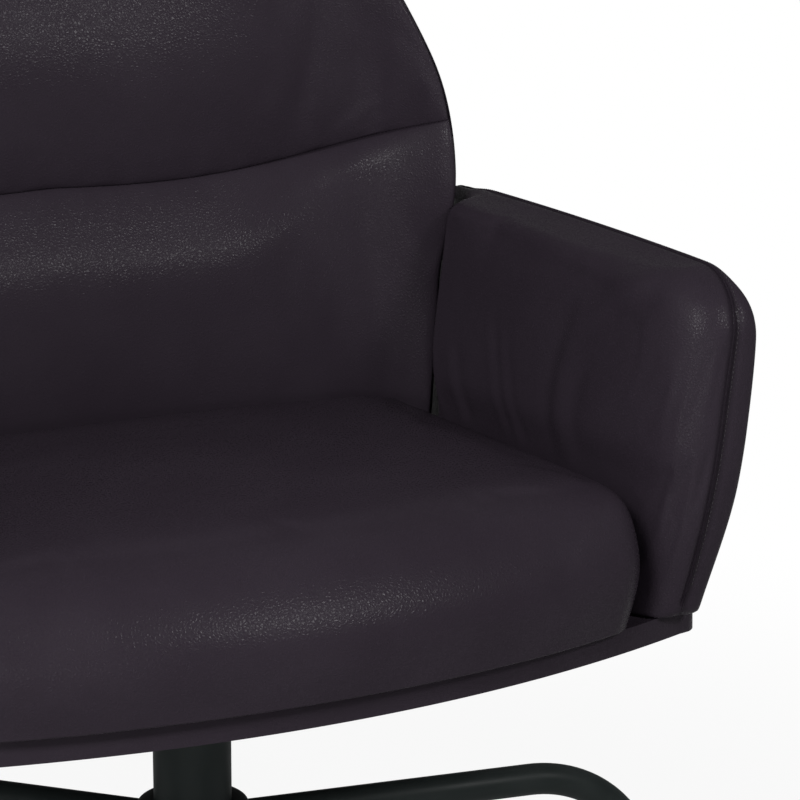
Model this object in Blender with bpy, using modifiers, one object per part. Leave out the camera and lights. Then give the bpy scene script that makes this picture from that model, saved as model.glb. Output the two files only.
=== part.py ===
# Swivel recliner: a padded chair that turns on a five-legged pedestal and leans back on a cross pin.
# Metres, +Z up, the chair faces -Y, the floor is Z = 0.
from math import cos, pi, radians, sin, sqrt

import bmesh
import bpy
import numpy as np

# Where the column stands, so that the whole object is centred on the origin
COLUMN_Y = -0.0430
GAP = 0.0003

# Pedestal
LEG_COUNT = 5
LEG_TURN = radians(-8.2)
TUBE_R = 0.0125
TUBE_WALL = 0.002
LEG_HEIGHT = 0.140
LEG_REACH = 0.380
LEG_BEND = 0.102
LEG_END = 0.009
GLIDE_R = 0.0138
HUB_R = 0.044
HUB_BELOW = 0.022
HUB_ABOVE = 0.018
HUB_BOTTOM = LEG_HEIGHT - HUB_BELOW
HUB_TOP = LEG_HEIGHT + HUB_ABOVE
COLUMN_R = 0.030
COLUMN_WALL = 0.0025
COLUMN_LENGTH = 0.120
COLUMN_BELOW = 0.006
COLUMN_BOTTOM = HUB_BOTTOM - COLUMN_BELOW
COLUMN_TOP = COLUMN_BOTTOM + COLUMN_LENGTH

# Swivel and recline mechanism
SPINDLE_R = 0.014
LOWER_BUSH_H = 0.025
FLANGE_R = 0.022
WASHER_H = 0.003
SHEET = 0.003
YOKE_HALF = 0.0475
YOKE_REACH = 0.065
PIN_R = 0.006
PIN_RISE = 0.032
PIN_Z = COLUMN_TOP + PIN_RISE
PIVOT_R = 0.015
PIVOT_BORE = 0.0125
SEAT_TILT = radians(3.0)
RECLINE = radians(12.0)

# Seat cushion: its width and its front carry the board, the arms and the back
CUSHION_HALF = 0.2855
CUSHION_FRONT_TAPER = 0.0105
CUSHION_FRONT = -0.254
CUSHION_REAR = 0.229
CUSHION_REAR_BOW = 0.036
CUSHION_TOP = 0.126
CUSHION_WAIST = 0.036
CUSHION_CROWN = 0.008
CUSHION_CORNER = 0.026

# Arms, as far as the board needs them
ARM_OFFSET = 0.0265
ARM_FOOT_X = CUSHION_HALF + ARM_OFFSET

# Seat board: heights of the seat body are measured from the board's underside
BOARD_RISE = 0.026
BOARD_T = 0.018
BOARD_MARGIN = 0.031
BOARD_HALF = ARM_FOOT_X + BOARD_MARGIN
BOARD_FRONT = CUSHION_FRONT + 0.014
BOARD_REAR = 0.342
FRONT_BOW = 0.85
PLATE_HALF = 0.100
PLATE_DEPTH = 0.085
PLATE_T = 0.004

# Back: half width, centre line and thickness by height above the board's underside
BACK_BOTTOM = 0.0183
BACK_TOP = 0.715
BACK_HEIGHTS = (0.00, 0.12, 0.20, 0.30, 0.34, 0.394, 0.424, 0.45, 0.50, 0.55, 0.60, 0.65, 0.69, 0.72)
BACK_LOW_OVER = (0.0145, 0.0265, 0.0345, 0.0405, 0.0410, 0.0335, 0.0235, 0.0135)
BACK_HEAD_OVER = (-0.0065, -0.0255, -0.0415, -0.0535, -0.0605, -0.0645)
BACK_HALVES = tuple(CUSHION_HALF + over for over in BACK_LOW_OVER + BACK_HEAD_OVER)
CENTRE_HEIGHTS = (0.00, 0.12, 0.3135, 0.475, 0.62, 0.72)
CENTRE_DEPTHS = (0.289, 0.288, 0.300, 0.332, 0.375, 0.409)
BACK_WRAP = 0.130
BACK_WRAP_LOW = 0.098
SEAM_HEIGHT = 0.3125
SEAM_RISE = 0.042
SEAM_T = 0.043
LOWER_BULGE = 0.024
UPPER_BULGE = 0.027
SHELL_T = 0.044
SHELL_RIM = 0.009
HEAD_ROUND = 0.130
HEAD_CROWN = 0.022

# Arms
ARM_LEAN = 0.15
ARM_FLARE = 0.025
ARM_TOP = 0.284
ARM_TOP_RISE = 0.04
ARM_FRONT = CUSHION_FRONT + 0.033
ARM_FRONT_FOOT = ARM_FRONT + 0.029
ARM_REAR = 0.262
ARM_PAD_T = 0.052
ARM_PAD_FOOT = 0.35
ARM_PAD_END = 0.158
ARM_PAD_TURN = 0.018
ARM_PAD_REAR = 0.0075
ARM_PAD_REAR_LEAN = 0.053
ARM_SHELL_T = 0.028
ARM_STRIP = 0.023

# Fixings
SCREW_R = 0.003
SCREW_HEAD = 0.0058
ROUND_STEPS = 32
SMALL_STEPS = 16

for old in list(bpy.data.objects):
    bpy.data.objects.remove(old, do_unlink=True)

parts = bpy.data.collections.new("swivel_recliner")
cutters = bpy.data.collections.new("cutters")
bpy.context.scene.collection.children.link(parts)
bpy.context.scene.collection.children.link(cutters)
cutters.hide_render = True


# Helpers
def material(name, colour, rough, metal=0.0):
    made = bpy.data.materials.new(name)
    made.use_nodes = True
    shader = made.node_tree.nodes["Principled BSDF"]
    shader.inputs["Base Color"].default_value = (*colour, 1.0)
    shader.inputs["Roughness"].default_value = rough
    shader.inputs["Metallic"].default_value = metal
    return made


def axis_empty(name, location, tilt=0.0, parent=None):
    empty = bpy.data.objects.new(name, None)
    empty.location = location
    empty.rotation_euler.x = tilt
    empty.parent = parent
    parts.objects.link(empty)
    return empty


def add(name, mesh, parent, look, at=(0.0, 0.0, 0.0)):
    mesh.materials.append(look)
    obj = bpy.data.objects.new(name, mesh)
    obj.parent = parent
    obj.location = at
    parts.objects.link(obj)
    return obj


def mesh_from(name, points, faces, smooth=True):
    """A closed mesh: coincident points are welded and every face is turned outwards."""
    mesh = bpy.data.meshes.new(name)
    mesh.from_pydata([tuple(float(c) for c in p) for p in points], [], faces)
    work = bmesh.new()
    work.from_mesh(mesh)
    bmesh.ops.remove_doubles(work, verts=work.verts, dist=2e-6)
    bmesh.ops.dissolve_degenerate(work, edges=work.edges, dist=1e-7)
    bmesh.ops.recalc_face_normals(work, faces=work.faces)
    if work.calc_volume(signed=True) < 0:
        bmesh.ops.reverse_faces(work, faces=work.faces)
    for face in work.faces:
        face.smooth = smooth
    work.to_mesh(mesh)
    work.free()
    return mesh


def turned(name, profile, parent, look, at=(0.0, 0.0, 0.0), steps=ROUND_STEPS, along_x=False):
    """A turned piece: the closed profile of (radius, height) points goes round by a Screw modifier."""
    mesh = bpy.data.meshes.new(name)
    rows = [(r, 0.0, z) for r, z in profile]
    on_axis = profile[0][0] == 0.0 and profile[-1][0] == 0.0
    ring = [(i, i + 1) for i in range(len(rows) - 1)]
    if not on_axis:
        ring.append((len(rows) - 1, 0))
    mesh.from_pydata(rows, ring, [])
    obj = add(name, mesh, parent, look, at)
    screw = obj.modifiers.new("turn", "SCREW")
    screw.angle = 2 * pi
    screw.steps = screw.render_steps = steps
    screw.use_merge_vertices = True
    screw.merge_threshold = 0.00001
    screw.use_normal_calculate = True
    screw.use_smooth_shade = False
    if along_x:
        obj.rotation_euler.y = pi / 2
    bpy.context.view_layer.update()
    held = obj.evaluated_get(bpy.context.evaluated_depsgraph_get())
    work = bmesh.new()
    work.from_mesh(held.to_mesh())
    if work.calc_volume(signed=True) < 0:
        screw.use_normal_flip = True
    work.free()
    held.to_mesh_clear()
    return obj


def prism(outline, low, high):
    """Points and faces of an outline in X and Y, drawn up from low to high."""
    count = len(outline)
    points = [(x, y, low) for x, y in outline] + [(x, y, high) for x, y in outline]
    faces = [tuple(range(count))[::-1], tuple(range(count, 2 * count))]
    faces += [(i, (i + 1) % count, count + (i + 1) % count, count + i) for i in range(count)]
    return points, faces


def mirrored_slab(half, low, high):
    """A slab from the right half of its outline, front to rear. Its flat sides are strips, which keeps holes clean."""
    count = len(half)
    points = [(x, y, z) for z in (low, high) for side in (1, -1) for x, y in ((side * x, y) for x, y in half)]
    faces = []
    for i in range(count - 1):
        for start in (0, 2 * count):
            faces.append((start + i, start + i + 1, start + count + i + 1, start + count + i))
        for start in (0, count):
            faces.append((start + i, start + i + 1, start + 2 * count + i + 1, start + 2 * count + i))
    faces.append((count - 1, 2 * count - 1, 4 * count - 1, 3 * count - 1))
    return points, faces


def bevelled(obj, width, segments=2, limit=radians(40)):
    bevel = obj.modifiers.new("edge", "BEVEL")
    bevel.width = width
    bevel.segments = segments
    bevel.limit_method = "ANGLE"
    bevel.angle_limit = limit
    return obj


def drill(obj, name, radius, low, high, at, along_x=False, steps=SMALL_STEPS):
    """Cuts a round hole in obj, in the frame of obj's parent."""
    mesh = bpy.data.meshes.new(name)
    work = bmesh.new()
    bmesh.ops.create_cone(
        work, cap_ends=True, segments=steps, radius1=radius, radius2=radius, depth=high - low
    )
    bmesh.ops.translate(work, verts=work.verts, vec=(0.0, 0.0, (low + high) / 2))
    work.to_mesh(mesh)
    work.free()
    tool = bpy.data.objects.new(name, mesh)
    tool.parent = obj.parent
    tool.location = at
    if along_x:
        tool.rotation_euler.y = pi / 2
    tool.display_type = "WIRE"
    tool.hide_render = True
    cutters.objects.link(tool)
    cut = obj.modifiers.new(name, "BOOLEAN")
    cut.operation = "DIFFERENCE"
    cut.solver = "EXACT"
    cut.object = tool


def join_to(obj, name, points, faces):
    """Adds a block to obj by an exact union."""
    tool = bpy.data.objects.new(name, mesh_from(name, points, faces, False))
    tool.parent = obj.parent
    tool.location = obj.location
    tool.display_type = "WIRE"
    tool.hide_render = True
    cutters.objects.link(tool)
    union = obj.modifiers.new(name, "BOOLEAN")
    union.operation = "UNION"
    union.solver = "EXACT"
    union.object = tool


def through(xs, ys, at):
    """A smooth curve through the given points (cubic, with the slope of the neighbours at each)."""
    xs = np.asarray(xs, float)
    ys = np.asarray(ys, float)
    slopes = np.gradient(ys, xs)
    at = np.clip(np.asarray(at, float), xs[0], xs[-1])
    i = np.clip(np.searchsorted(xs, at, side="right") - 1, 0, len(xs) - 2)
    span = xs[i + 1] - xs[i]
    f = (at - xs[i]) / span
    a = (2 * f**3 - 3 * f**2 + 1) * ys[i] + (f**3 - 2 * f**2 + f) * span * slopes[i]
    return a + (3 * f**2 - 2 * f**3) * ys[i + 1] + (f**3 - f**2) * span * slopes[i + 1]


def spread(count):
    """Values from -1 to 1, closer together towards the ends, where padding turns over."""
    return np.sin(0.5 * pi * np.linspace(-1.0, 1.0, count))


def roll(q, sharp, soft):
    """1 in the middle, 0 at q = -1 and 1, round in between as padding is at its edges."""
    return np.clip(1.0 - np.abs(q) ** sharp, 0.0, 1.0) ** (1.0 / soft)


def soft_step(q):
    q = np.clip(q, 0.0, 1.0)
    return q * q * (3.0 - 2.0 * q)


def round_corner(x, y, corner, out_x, out_y, radius):
    """Bends one corner of a rectangular grid of points to a round one."""
    a = np.clip((x - (corner[0] - out_x * radius)) * out_x / radius, 0.0, 1.0)
    b = np.clip((y - (corner[1] - out_y * radius)) * out_y / radius, 0.0, 1.0)
    inside = (a > 0) & (b > 0)
    new_x = corner[0] - out_x * radius + out_x * radius * a * np.sqrt(1 - b * b / 2)
    new_y = corner[1] - out_y * radius + out_y * radius * b * np.sqrt(1 - a * a / 2)
    return np.where(inside, new_x, x), np.where(inside, new_y, y)


def padded_mesh(name, face, rear, also_turned=()):
    """One closed soft body between two grids of points with the same layout.

    A cell is split along its diagonal. In a corner that diagonal has to start at the corner, or both grids would
    have the same thin triangle there, so two corner cells are split the other way.
    """
    rows, cols = face.shape[:2]
    points = np.concatenate([face.reshape(-1, 3), rear.reshape(-1, 3)])
    base = rows * cols
    other_way = {(0, cols - 2), (rows - 2, 0), *also_turned}
    faces = []
    for i in range(rows - 1):
        for j in range(cols - 1):
            a = i * cols + j
            b = a + cols
            split = [(a, b, b + 1), (a, b + 1, a + 1)]
            if (i, j) in other_way:
                split = [(a, b, a + 1), (b, b + 1, a + 1)]
            faces += split
            faces += [tuple(base + n for n in reversed(face)) for face in split]
    edge = [j for j in range(cols)]
    edge += [i * cols + cols - 1 for i in range(1, rows)]
    edge += [(rows - 1) * cols + j for j in range(cols - 2, -1, -1)]
    edge += [i * cols for i in range(rows - 2, 0, -1)]
    for k, a in enumerate(edge):
        b = edge[(k + 1) % len(edge)]
        faces += [(a, b, base + b), (a, base + b, base + a)]
    return mesh_from(name, points, faces)


# Materials
leather = material("black_faux_leather", (0.022, 0.019, 0.023), 0.42)
steel = material("black_powder_coat", (0.02, 0.022, 0.024), 0.38, 0.3)
zinc = material("zinc_plated_steel", (0.55, 0.55, 0.53), 0.35, 1.0)
plastic = material("black_plastic", (0.025, 0.025, 0.025), 0.5)
nylon = material("natural_nylon", (0.75, 0.72, 0.64), 0.5)
rubber = material("black_rubber", (0.02, 0.02, 0.02), 0.8)

# Axes
base = axis_empty("base_axis", (0.0, COLUMN_Y, 0.0))
swivel = axis_empty("swivel_axis", (0.0, COLUMN_Y, 0.0))
recline = axis_empty("recline_axis", (0.0, COLUMN_Y, PIN_Z), -SEAT_TILT)
ON_BOARD = (0.0, 0.0, BOARD_RISE)


# Pedestal
def leg_mesh(name, turn):
    """A hollow tube in one vertical plane: out from the hub, round the bend, down to the glide."""
    start = HUB_R + GAP
    path = [(start, LEG_HEIGHT, 0.0), (LEG_REACH - LEG_BEND, LEG_HEIGHT, 0.0)]
    bend_steps = 9
    for k in range(1, bend_steps + 1):
        a = 0.5 * pi * k / bend_steps
        path.append((LEG_REACH - LEG_BEND + LEG_BEND * sin(a), LEG_HEIGHT - LEG_BEND + LEG_BEND * cos(a), a))
    path.append((LEG_REACH, LEG_END, 0.5 * pi))
    sides = 16
    skins = []
    for radius in (TUBE_R, TUBE_R - TUBE_WALL):
        skin = []
        for n, (r, z, a) in enumerate(path):
            for k in range(sides):
                p = 2 * pi * k / sides
                up = radius * sin(p)
                side = radius * cos(p)
                if n == 0:
                    out = sqrt(start * start - side * side)
                    skin.append((out, side, z + up))
                else:
                    skin.append((r + up * sin(a), side, z + up * cos(a)))
        skins.append(skin)
    count = len(path) * sides
    faces = []
    for n in range(len(path) - 1):
        for k in range(sides):
            a = n * sides + k
            b = n * sides + (k + 1) % sides
            faces.append((a, b, b + sides, a + sides))
            faces.append((count + b, count + a, count + a + sides, count + b + sides))
    last = (len(path) - 1) * sides
    for k in range(sides):
        b = (k + 1) % sides
        faces.append((b, k, count + k, count + b))
        faces.append((last + k, last + b, count + last + b, count + last + k))
    turned_points = []
    for x, y, z in skins[0] + skins[1]:
        turned_points.append((x * cos(turn) - y * sin(turn), x * sin(turn) + y * cos(turn), z))
    return mesh_from(name, turned_points, faces)


for k in range(LEG_COUNT):
    turn = LEG_TURN + 2 * pi * k / LEG_COUNT
    add(f"leg_{k + 1}", leg_mesh(f"leg_{k + 1}", turn), base, steel)
    foot = (LEG_REACH * cos(turn), LEG_REACH * sin(turn), 0.0)
    plug = TUBE_R - TUBE_WALL - GAP
    glide = [(0.0, 0.0), (GLIDE_R - 0.002, 0.0), (GLIDE_R, 0.002), (GLIDE_R, LEG_END - GAP), (plug, LEG_END - GAP)]
    glide += [(plug, 0.026), (plug - 0.0015, 0.028), (0.0, 0.028)]
    turned(f"glide_{k + 1}", glide, base, plastic, foot, SMALL_STEPS)

bore = COLUMN_R + GAP
hub_profile = [(bore, HUB_BOTTOM), (HUB_R - 0.002, HUB_BOTTOM), (HUB_R, HUB_BOTTOM + 0.002)]
hub_profile += [(HUB_R, HUB_TOP - 0.005), (HUB_R - 0.0015, HUB_TOP - 0.0015), (HUB_R - 0.005, HUB_TOP)]
hub_profile += [(bore, HUB_TOP)]
turned("hub", hub_profile, base, steel, steps=48)

inner = COLUMN_R - COLUMN_WALL
column_profile = [(inner, COLUMN_BOTTOM), (COLUMN_R, COLUMN_BOTTOM), (COLUMN_R, COLUMN_TOP), (inner, COLUMN_TOP)]
turned("column", column_profile, base, steel, steps=48)

bush_r = inner - GAP
shaft = SPINDLE_R + GAP
bush_top = COLUMN_TOP + 0.0033
BUSH_DEPTH = 0.030
bush_low = COLUMN_TOP - BUSH_DEPTH
upper = [(shaft, bush_low), (bush_r, bush_low), (bush_r, COLUMN_TOP + GAP), (COLUMN_R, COLUMN_TOP + GAP)]
upper += [(COLUMN_R, bush_top), (shaft, bush_top)]
turned("upper_bush", upper, base, nylon)
low_end = COLUMN_BOTTOM + 0.013
low_top = low_end + LOWER_BUSH_H
turned("lower_bush", [(shaft, low_end), (bush_r, low_end), (bush_r, low_top), (shaft, low_top)], base, nylon)
cap = [(0.0, COLUMN_BOTTOM - 0.0035), (COLUMN_R - 0.001, COLUMN_BOTTOM - 0.0035), (COLUMN_R, COLUMN_BOTTOM - 0.0025)]
cap += [(COLUMN_R, COLUMN_BOTTOM - GAP), (bush_r, COLUMN_BOTTOM - GAP), (bush_r, COLUMN_BOTTOM + 0.004)]
cap += [(bush_r - 0.002, COLUMN_BOTTOM + 0.004), (bush_r - 0.002, COLUMN_BOTTOM), (0.0, COLUMN_BOTTOM)]
turned("hub_cap", cap, base, plastic)

# Swivel body
washer_low = bush_top + GAP
washer_top = washer_low + WASHER_H
turned("thrust_washer", [(shaft, washer_low), (0.029, washer_low), (0.029, washer_top), (shaft, washer_top)], swivel, zinc)
flange_low = washer_top + GAP
flange_top = flange_low + 0.003
yoke_low = flange_top + GAP
ring_low = low_end - 0.0028
ring_top = ring_low + 0.0024
groove = SPINDLE_R - 0.002
boss = 0.012
tip = ring_low - 0.0037
spindle = [(0.0, tip), (SPINDLE_R - 0.001, tip), (SPINDLE_R, tip + 0.001), (SPINDLE_R, ring_low - GAP)]
spindle += [(groove, ring_low - GAP), (groove, ring_top + GAP), (SPINDLE_R, ring_top + GAP), (SPINDLE_R, flange_low)]
spindle += [(FLANGE_R, flange_low), (FLANGE_R, flange_top), (boss, flange_top), (boss, yoke_low + SHEET), (0.0, yoke_low + SHEET)]
turned("spindle", spindle, swivel, zinc)
ring_profile = [(groove + GAP, ring_low), (0.021, ring_low), (0.021, ring_top), (groove + GAP, ring_top)]
turned("retaining_ring", ring_profile, swivel, zinc)

yoke_top = yoke_low + SHEET
cheek = [(-YOKE_REACH, yoke_low), (YOKE_REACH, yoke_low), (YOKE_REACH, yoke_low + 0.010), (0.016, PIN_Z + 0.014)]
cheek += [(-0.016, PIN_Z + 0.014), (-YOKE_REACH, yoke_low + 0.020)]
half = YOKE_HALF
sheet_points = [(x, y, z) for x in (half, -half) for y, z in cheek]
side = len(cheek)
sheet_faces = [tuple(range(side)), tuple(range(2 * side - 1, side - 1, -1)), (0, side, side + 1, 1)]
yoke_mesh = bpy.data.meshes.new("yoke")
yoke_mesh.from_pydata(sheet_points, [], sheet_faces)
yoke = add("yoke", yoke_mesh, swivel, steel)
thick = yoke.modifiers.new("sheet", "SOLIDIFY")
thick.thickness = SHEET
thick.offset = -1.0
thick.use_even_offset = True
drill(yoke, "yoke_boss_hole", boss + GAP, yoke_low - 0.01, yoke_low + 0.01, (0.0, 0.0, 0.0), steps=ROUND_STEPS)
drill(yoke, "yoke_pin_hole", PIN_R + GAP, -0.08, 0.08, (0.0, 0.0, PIN_Z), True)

pin_head = 0.0055
pin_end = half + 0.012
pin = [(0.0, -half - GAP - pin_head), (0.010, -half - GAP - pin_head), (0.010, -half - GAP), (PIN_R, -half - GAP)]
pin += [(PIN_R, pin_end - 0.001), (PIN_R - 0.001, pin_end), (0.0, pin_end)]
turned("tilt_pin", pin, swivel, zinc, (0.0, 0.0, PIN_Z), SMALL_STEPS, True)
nut_bore = (PIN_R + GAP) / cos(pi / 6)
nut = [(nut_bore, half + GAP), (0.0105, half + GAP), (0.0105, half + 0.009), (nut_bore, half + 0.009)]
turned("tilt_nut", nut, swivel, zinc, (0.0, 0.0, PIN_Z), 6, True)

STOP_Y = 0.050
STOP_R = 0.009
plate_low = BOARD_RISE - GAP - PLATE_T
stop_rest = PIN_Z + plate_low * cos(SEAT_TILT) + STOP_Y * sin(SEAT_TILT)
lean = SEAT_TILT + RECLINE
far = STOP_Y + STOP_R
stop_lean = PIN_Z + plate_low * cos(lean) - (far - plate_low * sin(lean)) / cos(lean) * sin(lean)
for name, y, top in (("front_stop", -STOP_Y, stop_rest - STOP_R * sin(SEAT_TILT) - GAP), ("rear_stop", STOP_Y, stop_lean - 2 * GAP)):
    stop = [(0.0, yoke_top + GAP), (STOP_R, yoke_top + GAP), (STOP_R, top - 0.003), (STOP_R - 0.002, top), (0.0, top)]
    turned(name, stop, swivel, rubber, (0.0, y, 0.0), SMALL_STEPS)

# Recline body: plate, pivot tube and rubber springs
plate_outline = [(-PLATE_HALF, -PLATE_DEPTH), (PLATE_HALF, -PLATE_DEPTH), (PLATE_HALF, PLATE_DEPTH), (-PLATE_HALF, PLATE_DEPTH)]
plate_points, plate_faces = prism(plate_outline, -GAP - PLATE_T, -GAP)
seat_plate = add("seat_plate", mesh_from("seat_plate", plate_points, plate_faces, False), recline, steel, ON_BOARD)
pin_h = -BOARD_RISE
for n, x in enumerate((-0.034, 0.034)):
    ear = [(-0.030, -GAP - PLATE_T / 2), (-0.022, pin_h), (0.022, pin_h), (0.030, -GAP - PLATE_T / 2)]
    points = [(x - 0.002, y, z) for y, z in ear] + [(x + 0.002, y, z) for y, z in ear]
    faces = [(0, 1, 2, 3), (7, 6, 5, 4)] + [(i, (i + 1) % 4, 4 + (i + 1) % 4, 4 + i) for i in range(4)]
    join_to(seat_plate, f"ear_{n + 1}", points, faces)
drill(seat_plate, "pivot_saddle", PIVOT_R + GAP, -0.06, 0.06, (0.0, 0.0, 0.0), True, ROUND_STEPS)
SCREW_AT = [(x * (PLATE_HALF - 0.016), y * (PLATE_DEPTH - 0.017)) for x in (-1, 1) for y in (-1, 1)]
for n, (x, y) in enumerate(SCREW_AT):
    drill(seat_plate, f"plate_hole_{n + 1}", SCREW_R + GAP, -0.02, 0.02, (x, y, BOARD_RISE))

tube_half = half - SHEET - 0.0004
tube_profile = [(PIVOT_BORE, -tube_half), (PIVOT_R, -tube_half), (PIVOT_R, tube_half), (PIVOT_BORE, tube_half)]
turned("pivot_tube", tube_profile, recline, steel, along_x=True)
for name, low, high in (("torsion_bush_left", -tube_half + 0.001, -0.003), ("torsion_bush_right", 0.003, tube_half - 0.001)):
    bush = [(PIN_R + GAP, low), (PIVOT_BORE - GAP, low), (PIVOT_BORE - GAP, high), (PIN_R + GAP, high)]
    turned(name, bush, recline, rubber, along_x=True)


# Seat board
def bow(x):
    return x * x / (2 * FRONT_BOW)


board_outline = []
corner_r = 0.022
rear_r = 0.118
side_x = BOARD_HALF - corner_r
for x in np.linspace(0.0, side_x, 13):
    board_outline.append((x, BOARD_FRONT + bow(x)))
corner_y = BOARD_FRONT + bow(side_x) + corner_r
for a in np.linspace(0.12, 0.5, 5)[1:] * pi:
    board_outline.append((side_x + corner_r * sin(a), corner_y - corner_r * cos(a)))
for a in np.linspace(0.0, 0.5, 9) * pi:
    board_outline.append((BOARD_HALF - rear_r + rear_r * cos(a), BOARD_REAR - rear_r + rear_r * sin(a)))
board_points, board_faces = mirrored_slab(board_outline, 0.0, BOARD_T)
board = add("seat_board", mesh_from("seat_board", board_points, board_faces, False), recline, leather, ON_BOARD)
bevelled(board, 0.005, 3)

screw_top = 0.012
for n, (x, y) in enumerate(SCREW_AT):
    drill(board, f"board_hole_{n + 1}", SCREW_R + GAP, -0.01, screw_top + 0.001, (x, y, BOARD_RISE))
    under = -2 * GAP - PLATE_T
    screw = [(0.0, under - 0.0035), (0.004, under - 0.0035), (SCREW_HEAD, under - 0.0015), (SCREW_HEAD, under)]
    screw += [(SCREW_R, under), (SCREW_R, screw_top - 0.002), (0.0, screw_top)]
    turned(f"plate_screw_{n + 1}", screw, recline, zinc, (x, y, BOARD_RISE), 12)

# Seat cushion
S, T = np.meshgrid(spread(20), spread(20), indexing="ij")
depth = CUSHION_REAR - CUSHION_FRONT
x = CUSHION_HALF * S
y = depth * (T + 1) / 2
for sign in (-1, 1):
    x, y = round_corner(x, y, (sign * CUSHION_HALF, 0.0), sign, -1, CUSHION_CORNER)
    x, y = round_corner(x, y, (sign * CUSHION_HALF, depth), sign, 1, 0.030)
x = x * (1 - CUSHION_FRONT_TAPER / CUSHION_HALF * (1 - y / depth))
rear_bow = CUSHION_REAR_BOW * np.abs(x / CUSHION_HALF) ** 3
y = CUSHION_FRONT + y + bow(x) * (1 - y / depth) - rear_bow * y / depth
depth_roll = roll(np.minimum(T, 0), 9, 2.3) * roll(np.maximum(T, 0), 40, 3.5)
edge_roll = roll(S, 40, 3.5) * depth_roll
crown = CUSHION_CROWN * (1 - S**2) * (1 - T**2)
top = CUSHION_WAIST + (CUSHION_TOP - CUSHION_WAIST) * edge_roll + crown
foot_h = BOARD_T + 2 * GAP
foot = CUSHION_WAIST - (CUSHION_WAIST - foot_h) * roll(S, 24, 2.4) * roll(T, 24, 2.4)
cushion = padded_mesh("seat_cushion", np.stack([x, y, top], 2), np.stack([x, y, foot], 2))
add("seat_cushion", cushion, recline, leather, ON_BOARD)


# Back
def back_half(h):
    return through(BACK_HEIGHTS, BACK_HALVES, h)


def back_plane(s, h):
    """Depth of the surface that the back's panels lie on: flat with forward wings below, evenly curved at the head."""
    wrap = BACK_WRAP_LOW + (BACK_WRAP - BACK_WRAP_LOW) * soft_step((h - 0.21) / 0.10)
    wrap = wrap * (1.0 - 0.45 * soft_step((h - 0.35) / 0.4))
    wings = 0.14 * s**2 + 0.86 * np.abs(s) ** 8
    curve = wings + (s**2 - wings) * soft_step((h - 0.38) / 0.25)
    return through(CENTRE_HEIGHTS, CENTRE_DEPTHS, h) - wrap * curve


def seam(s):
    return SEAM_HEIGHT + SEAM_RISE * np.minimum(np.abs(s), 1.0) ** 1.8


BACK_COLS = 20
LOWER_ROWS = 8
UPPER_ROWS = 17
back_s = spread(BACK_COLS)
lower_t = (1 - np.cos(pi * np.linspace(0, 1, LOWER_ROWS))) / 2
upper_t = (1 - np.cos(pi * np.linspace(0, 1, UPPER_ROWS))) / 2


def head_round(s, h, top):
    """Rounds the two upper corners of a grid given by width share and height, and drops its top edge at the sides."""
    wide = float(back_half(BACK_TOP))
    x = s * wide
    for sign in (-1, 1):
        x, h = round_corner(x, h, (sign * wide, top), sign, 1, HEAD_ROUND)
    s = x / wide
    return s, h - HEAD_CROWN * s**2 * soft_step((h - top + 0.25) / 0.25)


def back_points(s, h, inset, forward):
    return np.stack([s * (back_half(h) - inset), back_plane(s, h) - forward, h], 2)


S, T = np.meshgrid(back_s, lower_t, indexing="ij")
H = BACK_BOTTOM + GAP + T * (seam(S) - GAP / 2 - BACK_BOTTOM - GAP)
side_roll = roll(S, 7, 2.0)
lower_form = SEAM_T + LOWER_BULGE * np.sin(pi * np.clip(T, 0, 1) ** 1.6) ** 0.9
lower_form = lower_form * side_roll * (0.45 + 0.55 * roll(1 - T, 6, 2.0))
lower_rear = back_points(S, H, SHELL_RIM / 2, GAP)
lower_face = back_points(S, H, SHELL_RIM / 2, GAP + lower_form)
add("back_lower", padded_mesh("back_lower", lower_face, lower_rear), recline, leather, ON_BOARD)
lower_grid = (S, H)

S, T = np.meshgrid(back_s, upper_t, indexing="ij")
H = seam(S) + GAP / 2 + T * (BACK_TOP - SHELL_RIM - seam(S) - GAP / 2)
S2, H2 = head_round(S, H, BACK_TOP - SHELL_RIM)
upper_form = SEAM_T + UPPER_BULGE * np.sin(pi * T**0.62) ** 0.9 * (1 - 0.25 * T)
upper_form = upper_form * side_roll[:, :1] * roll(T, 7, 2.2)
upper_rear = back_points(S2, H2, SHELL_RIM / 2, GAP)
upper_face = back_points(S2, H2, SHELL_RIM / 2, GAP + upper_form)
add("back_upper", padded_mesh("back_upper", upper_face, upper_rear), recline, leather, ON_BOARD)

# The shell's front repeats the panels' grid, so that their facets stay parallel, and adds a rim round it
core = np.concatenate([lower_rear[:, :-1], (lower_rear[:, -1:] + upper_rear[:, :1]) / 2, upper_rear[:, 1:]], 1)
core[:, :, 1] += 2 * GAP
RIM_BACK = 0.010


def rim(s, h):
    """Points of the shell's rim: the panels' outline, larger by the rim's width."""
    s, h = head_round(s, h, BACK_TOP)
    return back_points(s, h, -SHELL_RIM / 2, -RIM_BACK)


seam_end = float(seam(1.0))
side_h = np.concatenate([lower_grid[1][0, :-1], seam_end + upper_t * (BACK_TOP - seam_end)])
side_h[-1] = (side_h[-2] + BACK_TOP) / 2
left_rim = rim(np.full((1, len(side_h)), -1.0), side_h[None, :])
right_rim = left_rim * (-1, 1, 1)
head_s = np.concatenate([[-1.0], back_s, [1.0]])
head_s[1] = (head_s[2] - 1.0) / 2
head_s[-2] = -head_s[1]
head_rim = rim(head_s[:, None], np.full((len(head_s), 1), BACK_TOP))
shell_face = np.concatenate([np.concatenate([left_rim, core, right_rim], 0), head_rim], 1)
cols, rows = shell_face.shape[:2]
rank_s = np.linspace(-1, 1, cols)[:, None]
rank_t = np.linspace(0, 1, rows)[None, :]
shell_thick = RIM_BACK + (SHELL_T - RIM_BACK) * roll(rank_s, 5, 2.0) * roll(rank_t, 9, 2.0)
shell_thick[0] = shell_thick[-1] = 0.0
shell_thick[:, -1] = 0.0
shell_rear = shell_face.copy()
shell_rear[:, :, 1] += shell_thick
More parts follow.
